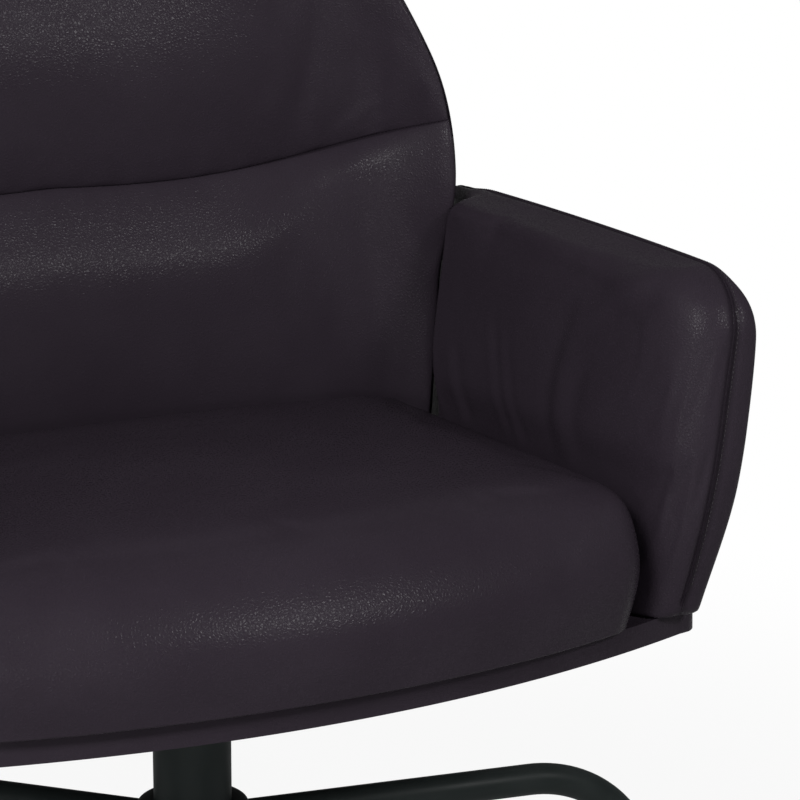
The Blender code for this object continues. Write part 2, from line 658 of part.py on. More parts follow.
shell_mesh = padded_mesh("back_shell", shell_face, shell_rear, [(1, rows - 3)])
shell = add("back_shell", shell_mesh, recline, leather, ON_BOARD)


# Arms
def arm_sheet(sign, s, t):
    """The upright sheet that an arm's pad and outer cover meet on, as grids of x, y and height."""
    length = ARM_REAR - ARM_FRONT
    run = s * length
    rise = t * ARM_TOP
    run, rise = round_corner(run, rise, (0.0, ARM_TOP), -1, 1, 0.052)
    run, rise = round_corner(run, rise, (length, ARM_TOP), 1, 1, 0.040)
    run, rise = round_corner(run, rise, (0.0, 0.0), -1, -1, 0.020)
    y = ARM_FRONT + run
    low = BOARD_T + GAP
    h = low + (ARM_TOP + ARM_TOP_RISE * y - low) * rise / ARM_TOP
    tuck = (ARM_FRONT_FOOT - ARM_FRONT) * (1 - np.sin(0.5 * pi * np.clip(h / 0.16, 0, 1)))
    y = y + tuck * np.clip(1 - run / length, 0, 1) ** 2
    x = ARM_FOOT_X + ARM_LEAN * (h - low) + ARM_FLARE * (y + 0.1)
    return sign * x, y, h


def crease(y, h, line, width, depth):
    """A soft fold along a line of (y, height) points."""
    nearest = np.full(y.shape, 1.0)
    for (y0, h0), (y1, h1) in zip(line[:-1], line[1:]):
        span = (y1 - y0) ** 2 + (h1 - h0) ** 2
        f = np.clip(((y - y0) * (y1 - y0) + (h - h0) * (h1 - h0)) / span, 0, 1)
        nearest = np.minimum(nearest, np.hypot(y - y0 - f * (y1 - y0), h - h0 - f * (h1 - h0)))
    return depth * np.exp(-((nearest / width) ** 2))


FOLD_MAIN = [(-0.181, 0.266), (-0.143, 0.227), (-0.100, 0.192), (-0.092, 0.176), (-0.093, 0.158), (-0.113, 0.124)]
FOLD_RIDGE = [(-0.102, 0.244), (-0.077, 0.207), (-0.069, 0.173), (-0.084, 0.128)]
FOLD_FRONT = [(-0.105, 0.151), (-0.151, 0.145), (-0.196, 0.143)]
FOLD_REAR = [(0.059, 0.213), (0.054, 0.174), (0.035, 0.129)]

# Two columns of the arm's grid lie where the pad ends in front of the back's wing
arm_s = (spread(17) + 1) / 2
arm_s[11] = (ARM_PAD_END - ARM_FRONT) / (ARM_REAR - ARM_FRONT)
arm_s[12] = arm_s[11] + ARM_PAD_TURN / (ARM_REAR - ARM_FRONT)
arm_t = np.sin(0.5 * pi * np.linspace(0, 1, 12))
S, T = np.meshgrid(arm_s, arm_t, indexing="ij")
end_roll = roll(2 * S - 1, 7, 2.1)
top_roll = roll(T, 8, 2.1)
for name, sign in (("left", -1), ("right", 1)):
    x, y, h = arm_sheet(sign, S, T)
    pad_rear = ARM_PAD_REAR + ARM_PAD_REAR_LEAN * (h - BOARD_T)
    pad_front = ARM_PAD_T * (ARM_PAD_FOOT + (1 - ARM_PAD_FOOT) * np.sqrt(np.clip((h - BOARD_T) / 0.13, 0, 1)))
    pad_end = ARM_PAD_END - 0.012 * (1 - soft_step((h - 0.12) / 0.06))
    pad = pad_front + (pad_rear - pad_front) * soft_step((y - pad_end) / ARM_PAD_TURN)
    pad = pad * end_roll * top_roll
    folds = crease(y, h, FOLD_RIDGE, 0.020, 0.004) - crease(y, h, FOLD_MAIN, 0.016, 0.006)
    folds = folds - crease(y, h, FOLD_FRONT, 0.020, 0.004) - crease(y, h, FOLD_REAR, 0.016, 0.003)
    pad = pad + folds * np.minimum(1, pad / 0.03)
    seam_x = x - sign * GAP / 2
    inner_face = np.stack([x - sign * (GAP / 2 + pad), y, h], 2)
    add(f"arm_pad_{name}", padded_mesh(f"arm_pad_{name}", inner_face, np.stack([seam_x, y, h], 2)), recline, leather, ON_BOARD)
    strip = ARM_STRIP * (1 - soft_step(S / 0.25)) * (0.75 + 0.25 * soft_step(T / 0.4))
    cover = np.maximum(ARM_SHELL_T * roll(2 * S - 1, 6, 2.0) * (0.86 + 0.14 * soft_step(T / 0.5)), strip)
    cover = cover * roll(T, 7, 2.0)
    outer_face = np.stack([x + sign * (GAP / 2 + cover), y, h], 2)
    held = np.stack([x + sign * GAP / 2, y, h], 2)
    arm_shell = add(f"arm_shell_{name}", padded_mesh(f"arm_shell_{name}", held, outer_face), recline, leather, ON_BOARD)
    for n, bolt_y in enumerate((-0.110, 0.130)):
        bolt_x = sign * (ARM_FOOT_X + ARM_FLARE * (bolt_y + 0.1) + 0.0095)
        at = (bolt_x, bolt_y, BOARD_RISE)
        drill(board, f"board_arm_hole_{name}_{n + 1}", SCREW_R + GAP, -0.01, 0.03, at)
        drill(arm_shell, f"arm_hole_{name}_{n + 1}", SCREW_R + GAP, 0.0, 0.046, at)
        bolt = [(0.0, -0.0045), (0.0055, -0.0045), (0.0070, -0.003), (0.0070, -GAP), (SCREW_R, -GAP)]
        bolt += [(SCREW_R, 0.044), (0.0, 0.045)]
        turned(f"arm_bolt_{name}_{n + 1}", bolt, recline, zinc, at, 12)

BACK_BOLT_X = 0.14
for name, sign in (("left", -1), ("right", 1)):
    bolt_s = BACK_BOLT_X / float(back_half(BACK_BOTTOM))
    at = (sign * BACK_BOLT_X, float(back_plane(np.array(bolt_s), np.array(BACK_BOTTOM))) + 0.021, BOARD_RISE)
    drill(board, f"board_back_hole_{name}", SCREW_R + GAP, -0.01, 0.03, at)
    drill(shell, f"shell_hole_{name}", SCREW_R + GAP, 0.0, 0.072, at)
    bolt = [(0.0, -0.0045), (0.0055, -0.0045), (0.0070, -0.003), (0.0070, -GAP), (SCREW_R, -GAP)]
    bolt += [(SCREW_R, 0.070), (0.0, 0.071)]
    turned(f"back_bolt_{name}", bolt, recline, zinc, at, 12)
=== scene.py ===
# %% [markdown]
# # A swivel recliner in black faux leather
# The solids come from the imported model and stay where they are. This lesson dresses them: it makes the
# padding, the covers, the seams and the finishes, and hangs each piece on the body that carries it.
# Everything is in metres, the chair faces -Y, and the floor is at Z = 0.

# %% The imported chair
from math import cos, pi, radians, sin

import bmesh
import bpy
import numpy as np
from mathutils import Matrix, Vector
from mathutils.bvhtree import BVHTree


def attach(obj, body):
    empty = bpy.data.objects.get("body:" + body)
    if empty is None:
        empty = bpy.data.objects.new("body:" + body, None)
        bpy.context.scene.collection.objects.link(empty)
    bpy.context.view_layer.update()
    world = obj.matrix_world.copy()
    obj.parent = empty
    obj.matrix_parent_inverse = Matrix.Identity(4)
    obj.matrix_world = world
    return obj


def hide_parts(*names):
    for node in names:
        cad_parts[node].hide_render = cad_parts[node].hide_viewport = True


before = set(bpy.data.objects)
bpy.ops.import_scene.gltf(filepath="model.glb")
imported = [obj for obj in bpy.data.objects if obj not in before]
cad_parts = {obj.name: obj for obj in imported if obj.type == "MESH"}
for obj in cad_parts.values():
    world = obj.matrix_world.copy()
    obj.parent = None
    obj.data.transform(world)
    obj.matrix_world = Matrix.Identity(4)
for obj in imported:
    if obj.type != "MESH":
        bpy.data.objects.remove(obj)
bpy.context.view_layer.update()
scene = bpy.context.scene

# %% [markdown]
# ## The camera
# A long lens far from the chair keeps its upright lines nearly parallel. The place, the turn and the lens
# were worked out from points of the photograph whose positions on the chair are known. The picture is cut
# close round the chair, so the lens is shifted sideways a little instead of turning the camera.

# %% Camera
camera = bpy.data.objects.new("camera", bpy.data.cameras.new("camera"))
camera.location = (-0.7819, -1.8865, 0.9977)
camera.rotation_euler = (radians(74.95), 0.0, radians(-26.0))
camera.data.sensor_width = 36.0
camera.data.lens = 126.0
camera.data.shift_x = 0.0875
camera.data.shift_y = 0.025
scene.collection.objects.link(camera)
scene.camera = camera
scene.view_settings.view_transform = "Standard"
print("camera at", [round(v, 3) for v in camera.location])

# %% [markdown]
# ## Floor and light
# The chair stands in a white studio. A floor that is only lit would need far too much light to come out
# white, so the floor and the walls ask the Light Path node what kind of ray has arrived: the camera,
# mirrors and glass see white, and every other ray sees a plain grey room that lights the chair softly. The
# ceiling stays grey for mirrors too, because a white one would lay a veil over black leather, and mirrors
# see only a part of the floor's white for the same reason. A share of real floor stays in the mix and keeps
# the shadow.


# %% White room
def joined(tree, kind, **fields):
    """A node with some of its sockets set. A value that is a socket is linked, any other is written."""
    made = tree.nodes.new(kind)
    for name, value in fields.items():
        if hasattr(made, name) and name not in made.inputs:
            setattr(made, name, value)
            continue
        socket = made.inputs[int(name[1:])] if name[0] == "i" and name[1:].isdigit() else made.inputs[name]
        if isinstance(value, bpy.types.NodeSocket):
            tree.links.new(value, socket)
        else:
            socket.default_value = value
    return made


def math_node(tree, operation, first, second):
    return joined(tree, "ShaderNodeMath", operation=operation, i0=first, i1=second).outputs[0]


def smooth_range(tree, value, low, high, least=0.0):
    """Rises smoothly from least to 1 while the value goes from low to high."""
    made = joined(tree, "ShaderNodeMapRange", interpolation_type="SMOOTHSTEP", Value=value)
    made.inputs["From Min"].default_value = low
    made.inputs["From Max"].default_value = high
    made.inputs["To Min"].default_value = least
    return made.outputs["Result"]


def seen_directly(tree, in_mirrors):
    """1 for a ray from the camera or through glass, in_mirrors for a mirror's ray, otherwise 0."""
    path = tree.nodes.new("ShaderNodeLightPath")
    plain = math_node(tree, "MAXIMUM", path.outputs["Is Camera Ray"], path.outputs["Is Transmission Ray"])
    mirrored = math_node(tree, "MULTIPLY", path.outputs["Is Glossy Ray"], in_mirrors)
    return math_node(tree, "MAXIMUM", plain, mirrored)


ROOM_LIGHT = 0.12
WALL_ENDS = (-0.04, 0.06)
FLOOR_IN_MIRRORS = 0.15
FLOOR_FADE = (0.5, 1.3)
FLOOR_WHITE = 0.92
WHITE = (1.0, 1.0, 1.0, 1.0)
world = bpy.data.worlds.new("white_room")
scene.world = world
world.use_nodes = True
room = world.node_tree
room.nodes.clear()
lit = joined(room, "ShaderNodeBackground", Color=WHITE, Strength=ROOM_LIGHT)
white = joined(room, "ShaderNodeBackground", Color=WHITE, Strength=1.0)
ray = room.nodes.new("ShaderNodeTexCoord").outputs["Generated"]
upward = joined(room, "ShaderNodeSeparateXYZ", i0=ray).outputs["Z"]
wall = math_node(room, "SUBTRACT", 1.0, smooth_range(room, upward, *WALL_ENDS))
by_camera = room.nodes.new("ShaderNodeLightPath").outputs["Is Camera Ray"]
share = math_node(room, "MULTIPLY", math_node(room, "MAXIMUM", wall, by_camera), seen_directly(room, 1.0))
choice = joined(room, "ShaderNodeMixShader", i0=share, i1=lit.outputs[0], i2=white.outputs[0])
joined(room, "ShaderNodeOutputWorld", Surface=choice.outputs[0])

floor_look = bpy.data.materials.new("pale_floor")
floor_look.use_nodes = True
tree = floor_look.node_tree
tree.nodes.clear()
matt = joined(tree, "ShaderNodeBsdfDiffuse", Color=(0.50, 0.50, 0.50, 1.0))
glow = joined(tree, "ShaderNodeEmission", Color=WHITE, Strength=1.0)
spot = tree.nodes.new("ShaderNodeTexCoord").outputs["Object"]
away = joined(tree, "ShaderNodeVectorMath", operation="LENGTH", i0=spot).outputs["Value"]
cover = smooth_range(tree, away, *FLOOR_FADE, FLOOR_WHITE)
share = math_node(tree, "MULTIPLY", seen_directly(tree, FLOOR_IN_MIRRORS), cover)
mix = joined(tree, "ShaderNodeMixShader", i0=share, i1=matt.outputs[0], i2=glow.outputs[0])
joined(tree, "ShaderNodeOutputMaterial", Surface=mix.outputs[0])

disc = bpy.data.meshes.new("floor")
work = bmesh.new()
bmesh.ops.create_circle(work, cap_ends=True, segments=64, radius=40.0)
work.to_mesh(disc)
work.free()
disc.materials.append(floor_look)
floor = bpy.data.objects.new("floor", disc)
floor.location.z = -0.0005
scene.collection.objects.link(floor)
print("floor and room made")


# %% [markdown]
# Leather shows its light as soft bands where the form turns, so the lamps stand where those bands are
# wanted. A front softbox to the right of the camera draws the bands on the back and on the cushion's front
# roll, a left one lights the seat, a large one fills from the side, and two weak low ones reach the arm's
# front roll and the wing. Two more stand behind the chair, so that its rear can be read too. They leave no
# band on the leather.

# %% Softboxes
AIM = Vector((0.0, 0.0, 0.5))


def softbox(name, place, width, height, power):
    lamp = bpy.data.lights.new(name, "AREA")
    lamp.shape = "RECTANGLE"
    lamp.size = width
    lamp.size_y = height
    lamp.energy = power
    held = bpy.data.objects.new(name, lamp)
    held.location = place
    held.rotation_euler = (AIM - Vector(place)).to_track_quat("-Z", "Y").to_euler()
    scene.collection.objects.link(held)
    return held


softbox("front_softbox", (0.91, -2.04, 1.84), 0.4, 0.4, 21.0)
softbox("left_softbox", (-1.55, -1.5, 1.95), 0.7, 0.7, 34.0)
softbox("side_softbox", (-1.89, -0.62, 2.17), 2.0, 2.0, 18.0)
softbox("low_softbox", (-0.76, -2.48, 0.68), 1.0, 0.35, 5.5)
softbox("low_side_softbox", (-1.91, -1.72, 0.86), 0.7, 0.5, 6.5)
for name, place in (("rear_right_softbox", (1.95, 1.04, 1.88)), ("rear_left_softbox", (-1.48, 1.64, 1.88))):
    softbox(name, place, 1.6, 1.6, 10.0).visible_glossy = False
print("seven softboxes")

# %% [markdown]
# ## Effects that several finishes share
# A node group is a small machine with named sockets: built once, it is placed in each material with its own
# values. The first makes the pebbled grain that is pressed into faux leather. Voronoi cells give pebbles of
# uneven size, and the distance to the cell's edge gives the crease between them. A little noise bends the
# cells, so that no straight lines are left.


# %% Pebble grain
def effect(name, label, size, outputs):
    """A node group that works on a position and one size: the group, the position, the size, 1 / size
    and the node that takes its float outputs."""
    made = bpy.data.node_groups.new(name, "ShaderNodeTree")
    made.interface.new_socket("Position", in_out="INPUT", socket_type="NodeSocketVector")
    socket = made.interface.new_socket(label, in_out="INPUT", socket_type="NodeSocketFloat")
    socket.default_value = size
    for output in outputs:
        made.interface.new_socket(output, in_out="OUTPUT", socket_type="NodeSocketFloat")
    position, given = made.nodes.new("NodeGroupInput").outputs[:2]
    return made, position, given, math_node(made, "DIVIDE", 1.0, given), made.nodes.new("NodeGroupOutput")


PEBBLE_BEND = 0.9
PEBBLE_DOME = 0.50
CREASE_REACH = 0.16
FINE_SCALE = 2.6
FINE_SHARE = -0.22
grain, position, size, scale, out = effect("pebble_grain", "Pebble Size", 0.0024, ["Height", "Crease"])
bend = joined(grain, "ShaderNodeTexNoise", Vector=position, Scale=scale, Detail=1.0)
middle = (0.5, 0.5, 0.5)
pull = joined(grain, "ShaderNodeVectorMath", operation="SUBTRACT", i0=bend.outputs["Color"], i1=middle)
amount = math_node(grain, "MULTIPLY", size, PEBBLE_BEND)
shift = joined(grain, "ShaderNodeVectorMath", operation="SCALE", i0=pull.outputs[0], Scale=amount)
bent = joined(grain, "ShaderNodeVectorMath", operation="ADD", i0=position, i1=shift.outputs[0])
cells = joined(grain, "ShaderNodeTexVoronoi", feature="DISTANCE_TO_EDGE", Vector=bent.outputs[0], Scale=scale)
pebble = smooth_range(grain, cells.outputs["Distance"], 0.0, PEBBLE_DOME)
fine_scale = math_node(grain, "MULTIPLY", scale, FINE_SCALE)
fine = joined(grain, "ShaderNodeTexVoronoi", feature="F1", Vector=bent.outputs[0], Scale=fine_scale)
fine_part = math_node(grain, "MULTIPLY", fine.outputs["Distance"], FINE_SHARE)
grain.links.new(math_node(grain, "ADD", pebble, fine_part), out.inputs["Height"])
crease_part = smooth_range(grain, cells.outputs["Distance"], 0.0, CREASE_REACH)
grain.links.new(math_node(grain, "SUBTRACT", 1.0, crease_part), out.inputs["Crease"])
print("group", grain.name, "nodes:", len(grain.nodes))

# %% [markdown]
# The second effect is unevenness: wide, faint patches where the surface was touched, stretched or dusted
# more than elsewhere. It turns the same colour and gloss into something that looks used.

# %% Uneven patches
patches, position, _, scale, out = effect("uneven_patches", "Patch Size", 0.08, ["Patch"])
wide = joined(patches, "ShaderNodeTexNoise", Vector=position, Scale=scale, Detail=3.0, Roughness=0.55)
patches.links.new(smooth_range(patches, wide.outputs["Fac"], 0.32, 0.68), out.inputs["Patch"])
print("group", patches.name, "nodes:", len(patches.nodes))

# %% [markdown]
# The third effect is light dust, which settles where a surface looks up. The surface's own normal says how
# far up it looks, and noise breaks the dust into specks.

# %% Settled dust
dust, position, _, scale, out = effect("settled_dust", "Speck Size", 0.0015, ["Dust"])
facing = joined(dust, "ShaderNodeSeparateXYZ", i0=dust.nodes.new("ShaderNodeNewGeometry").outputs["Normal"])
upward = smooth_range(dust, facing.outputs["Z"], 0.55, 1.0)
specks = joined(dust, "ShaderNodeTexNoise", Vector=position, Scale=scale, Detail=2.0)
loose = smooth_range(dust, specks.outputs["Fac"], 0.45, 0.75)
dust.links.new(math_node(dust, "MULTIPLY", upward, loose), out.inputs["Dust"])
print("group", dust.name, "nodes:", len(dust.nodes))

# %% [markdown]
# ## Finishes
# Black faux leather is a coated cloth: nearly black with a little plum in it, a broad soft shine on the
# pebbles, and duller creases between them, whose darker colour is painted shade. Each soft piece carries a
# value called seam on its points, 1 at its seams and thin edges and 0 away from them, and the material is
# darkened there as painted shade in the seam grooves.


# %% Black faux leather
def new_look(name):
    """A material with one Principled shader, its output, and the object's own coordinates in metres."""
    made = bpy.data.materials.new(name)
    made.use_nodes = True
    tree = made.node_tree
    shader = tree.nodes["Principled BSDF"]
    place = tree.nodes.new("ShaderNodeTexCoord").outputs["Object"]
    return made, tree, shader, place


def placed(tree, group, position, **values):
    made = tree.nodes.new("ShaderNodeGroup")
    made.node_tree = group
    tree.links.new(position, made.inputs["Position"])
    for name, value in values.items():
        made.inputs[name.replace("_", " ")].default_value = value
    return made


def blend(tree, factor, first, second):
    """A mix of two colours."""
    made = tree.nodes.new("ShaderNodeMix")
    made.data_type = "RGBA"
    tree.links.new(factor, made.inputs["Factor"])
    for index, value in ((6, first), (7, second)):
        if isinstance(value, bpy.types.NodeSocket):
            tree.links.new(value, made.inputs[index])
        else:
            made.inputs[index].default_value = (*value, 1.0)
    return made.outputs[2]


def relief(tree, shader, height, strength, depth):
    """Puts a Bump between a height and the shader's normal."""
    bump = joined(tree, "ShaderNodeBump", Height=height, Strength=strength, Distance=depth)
    tree.links.new(bump.outputs["Normal"], shader.inputs["Normal"])


LEATHER_DARK = (0.0256, 0.0196, 0.0270)
LEATHER_LIGHT = (0.0286, 0.0222, 0.0302)
# The darkest colour is painted shade, laid into the pebble creases and along seams and thin edges.
LEATHER_PAINTED_SHADE = (0.0120, 0.0090, 0.0126)
CREASE_SHADE_TINT = 0.25
SEAM_SHADE_TINT = 0.75
LEATHER_ROUGH = 0.21
CREASE_DULL = 0.30
PATCH_DULL = 0.04
LEATHER_SHINE = 0.07


def faux_leather(name, pebble_size, bump_depth):
    look, tree, shader, place = new_look(name)
    skin = placed(tree, grain, place, Pebble_Size=pebble_size)
    patch = placed(tree, patches, place, Patch_Size=0.09).outputs["Patch"]
    # The seam value darkens the colour at seams and thin edges: painted shade in the seam grooves.
    seam_shade = joined(tree, "ShaderNodeAttribute", attribute_name="seam").outputs["Fac"]
    tone = blend(tree, patch, LEATHER_DARK, LEATHER_LIGHT)
    # Painted shade: the creases between the pebbles are darkened in the base colour.
    crease_shade = math_node(tree, "MULTIPLY", skin.outputs["Crease"], CREASE_SHADE_TINT)
    tone = blend(tree, crease_shade, tone, LEATHER_PAINTED_SHADE)
    seam_shade_share = math_node(tree, "MULTIPLY", seam_shade, SEAM_SHADE_TINT)
    tree.links.new(blend(tree, seam_shade_share, tone, LEATHER_PAINTED_SHADE), shader.inputs["Base Color"])
    dull = math_node(tree, "MULTIPLY", skin.outputs["Crease"], CREASE_DULL)
    worn = math_node(tree, "MULTIPLY", patch, PATCH_DULL)
    rough = math_node(tree, "ADD", math_node(tree, "ADD", dull, worn), LEATHER_ROUGH)
    tree.links.new(rough, shader.inputs["Roughness"])
    relief(tree, shader, skin.outputs["Height"], 1.0, bump_depth)
    shader.inputs["Specular IOR Level"].default_value = LEATHER_SHINE
    return look


panel_leather = faux_leather("black_faux_leather", 0.0026, 0.00011)
board_leather = faux_leather("black_faux_leather_stretched", 0.0028, 0.00008)
print("leather looks:", panel_leather.name, board_leather.name)

# %% [markdown]
# The thread is a bonded polyester, a shade lighter than the leather, with the slanting lines of its twist.

# %% Sewing thread
thread_look, tree, shader, place = new_look("black_sewing_thread")
twist = joined(tree, "ShaderNodeTexWave", bands_direction="DIAGONAL", Vector=place, Scale=420.0,
               Distortion=1.5)
tone = blend(tree, twist.outputs["Fac"], (0.016, 0.013, 0.016), (0.050, 0.044, 0.050))
tree.links.new(tone, shader.inputs["Base Color"])
smoother = math_node(tree, "MULTIPLY", twist.outputs["Fac"], 0.2)
tree.links.new(math_node(tree, "SUBTRACT", 0.70, smoother), shader.inputs["Roughness"])
relief(tree, shader, twist.outputs["Fac"], 0.5, 0.0002)
shader.inputs["Specular IOR Level"].default_value = 0.3
print("thread look made")


# %% [markdown]
# The pedestal is powder coated. The powder melts into a film with a faint orange-peel texture, which is
# what breaks up the reflection along the tube. The film is thinner at rubbed places, and dust rests on the
# tops of the tubes.

# %% Powder coat
def powder_coat(name, dark, light, rough_low):
    look, tree, shader, place = new_look(name)
    patch = placed(tree, patches, place, Patch_Size=0.05).outputs["Patch"]
    resting = placed(tree, dust, place, Speck_Size=0.0012).outputs["Dust"]
    peel = joined(tree, "ShaderNodeTexNoise", Vector=place, Scale=900.0, Detail=2.0)
    tone = blend(tree, patch, dark, light)
    tone = blend(tree, math_node(tree, "MULTIPLY", resting, 0.10), tone, (0.16, 0.15, 0.14))
    tree.links.new(tone, shader.inputs["Base Color"])
    rough = math_node(tree, "ADD", math_node(tree, "MULTIPLY", patch, 0.08), rough_low)
    rough = math_node(tree, "ADD", rough, math_node(tree, "MULTIPLY", resting, 0.15))
    tree.links.new(rough, shader.inputs["Roughness"])
    relief(tree, shader, peel.outputs["Fac"], 0.35, 0.00012)
    shader.inputs["Specular IOR Level"].default_value = 0.14
    return look


coat_look = powder_coat("black_powder_coat", (0.0180, 0.0232, 0.0226), (0.0240, 0.0298, 0.0292), 0.42)
print("coat look made")


# %% [markdown]
# The hidden works have their own finishes: zinc-plated steel with fine turning lines, natural nylon bushes,
# black moulded plastic and black rubber.

# %% Zinc, nylon, plastic and rubber
def worked_finish(name, dark, light, rough, metal, line_scale, line_depth):
    look, tree, shader, place = new_look(name)
    patch = placed(tree, patches, place, Patch_Size=0.012).outputs["Patch"]
    lines = joined(tree, "ShaderNodeTexNoise", Vector=place, Scale=line_scale, Detail=3.0)
    tree.links.new(blend(tree, patch, dark, light), shader.inputs["Base Color"])
    uneven = math_node(tree, "MULTIPLY", lines.outputs["Fac"], 0.16)
    tree.links.new(math_node(tree, "ADD", uneven, rough - 0.08), shader.inputs["Roughness"])
    relief(tree, shader, lines.outputs["Fac"], 0.3, line_depth)
    shader.inputs["Metallic"].default_value = metal
    return look


STEEL = ((0.36, 0.37, 0.36), (0.55, 0.55, 0.52))
NYLON = ((0.66, 0.63, 0.55), (0.75, 0.72, 0.65))
PLASTIC = ((0.014, 0.014, 0.014), (0.022, 0.022, 0.022))
RUBBER = ((0.011, 0.011, 0.011), (0.020, 0.020, 0.019))
zinc_look = worked_finish("zinc_plated_steel", *STEEL, 0.36, 1.0, 700.0, 0.00008)
nylon_look = worked_finish("natural_nylon", *NYLON, 0.48, 0.0, 500.0, 0.00006)
plastic_look = worked_finish("black_moulded_plastic", *PLASTIC, 0.5, 0.0, 1400.0, 0.0001)
rubber_look = worked_finish("black_rubber", *RUBBER, 0.75, 0.0, 600.0, 0.0001)
print("four finishes for the works")

# %% [markdown]
# ## Sizes of the padding
# The seat, back and arms lean back three degrees together, so their shapes are worked out upright, as
# distances from the board's underside, and turned afterwards. These sizes are the ones that the solids were
# made with.

# %% Seat frame and sizes
COLUMN_Y = -0.0430
PIN_Z = 0.264
SEAT_TILT = radians(3.0)
BOARD_RISE = 0.026
BOARD_T = 0.018
GAP = 0.0003
LEANING = Matrix.Translation((0.0, COLUMN_Y, PIN_Z)) @ Matrix.Rotation(-SEAT_TILT, 4, "X")
LEANING = LEANING @ Matrix.Translation((0.0, 0.0, BOARD_RISE))


def leaned(points):
    """Points of the upright seat, turned to where the seat leans."""
    turn = np.array(LEANING.to_3x3())
    return np.asarray(points, float) @ turn.T + np.array(LEANING.translation)


def soft_step(q):
    q = np.clip(q, 0.0, 1.0)
    return q * q * (3.0 - 2.0 * q)


def roll(q, sharp, soft):
    """1 in the middle, 0 at q = -1 and 1, round in between as padding is at its edges."""
    return np.clip(1.0 - np.abs(q) ** sharp, 0.0, 1.0) ** (1.0 / soft)


def spread(count):
    """Values from -1 to 1, closer together towards the ends, where padding turns over."""
    return np.sin(0.5 * pi * np.linspace(-1.0, 1.0, count))


def round_corner(x, y, corner, out_x, out_y, radius):
    """Bends one corner of a rectangular grid of points to a round one."""
    a = np.clip((x - (corner[0] - out_x * radius)) * out_x / radius, 0.0, 1.0)
    b = np.clip((y - (corner[1] - out_y * radius)) * out_y / radius, 0.0, 1.0)
    inside = (a > 0) & (b > 0)
    new_x = corner[0] - out_x * radius + out_x * radius * a * np.sqrt(1 - b * b / 2)
    new_y = corner[1] - out_y * radius + out_y * radius * b * np.sqrt(1 - a * a / 2)
    return np.where(inside, new_x, x), np.where(inside, new_y, y)


def through(xs, ys, at):
    """A smooth curve through the given points."""
    xs = np.asarray(xs, float)
    ys = np.asarray(ys, float)
    slopes = np.gradient(ys, xs)
    at = np.clip(np.asarray(at, float), xs[0], xs[-1])
    i = np.clip(np.searchsorted(xs, at, side="right") - 1, 0, len(xs) - 2)
    span = xs[i + 1] - xs[i]
    f = (at - xs[i]) / span
    a = (2 * f**3 - 3 * f**2 + 1) * ys[i] + (f**3 - 2 * f**2 + f) * span * slopes[i]
    return a + (3 * f**2 - 2 * f**3) * ys[i + 1] + (f**3 - f**2) * span * slopes[i + 1]


print("seat leans", round(np.degrees(SEAT_TILT), 1), "degrees")

# %% [markdown]
# ## How a padded piece is made
# A pad is foam under a stretched cover. Each visible face starts as a fine grid of points in the shape of
# the foam, a little too thin. Blender's Cloth then blows it up against its own cover, with its seams held,
# so that it tightens and swells as upholstery does. The swelling is capped, because a seam line that the
# photograph shows has to stay where it is.


# %% Swelling and closing
def dress(obj, body, look, slot, *nodes):
    obj.data.materials.clear()
    obj.data.materials.append(look)
    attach(obj, body)
    if nodes:
        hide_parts(*nodes)
    return obj


def smooth_mesh(name, points, faces, seam_shade=None):
    mesh = bpy.data.meshes.new(name)
    mesh.from_pydata([tuple(float(c) for c in p) for p in points], [], faces)
    # The seam value stored here darkens the leather at seams and edges as painted shade.
    if seam_shade is not None:
        seam_shading = mesh.attributes.new("seam", "FLOAT", "POINT")
        seam_shading.data.foreach_set("value", np.asarray(seam_shade, np.float32))
    work = bmesh.new()
    work.from_mesh(mesh)
    bmesh.ops.remove_doubles(work, verts=work.verts, dist=2e-6)
    bmesh.ops.dissolve_degenerate(work, edges=work.edges, dist=1e-7)
    bmesh.ops.recalc_face_normals(work, faces=work.faces)
    if work.calc_volume(signed=True) < 0:
        bmesh.ops.reverse_faces(work, faces=work.faces)
    for face in work.faces:
        face.smooth = True
    work.to_mesh(mesh)
    work.free()
    return mesh


def shown(name, mesh, levels=0):
    obj = bpy.data.objects.new(name, mesh)
    scene.collection.objects.link(obj)
    if levels:
        finer = obj.modifiers.new("finer", "SUBSURF")
        finer.levels = finer.render_levels = levels
    return obj


FOAM_HOLD = 0.9
SWELL_CAP = 0.003
SHEET_PRESSURE = 3.0
BLOCK_PRESSURE = 4.0
SWELL_FRAMES = 16
CLOTH = {
    "quality": 6,
    "mass": 0.25,
    "tension_stiffness": 28.0,
    "compression_stiffness": 20.0,
    "shear_stiffness": 12.0,
    "bending_stiffness": 1.5,
    "use_pressure": True,
    "vertex_group_mass": "held",
}


def points_of(obj, field="co"):
    """One vector of each point of an object's mesh, as rows."""
    rows = np.zeros(len(obj.data.vertices) * 3)
    obj.data.vertices.foreach_get(field, rows)
    return rows.reshape(-1, 3)


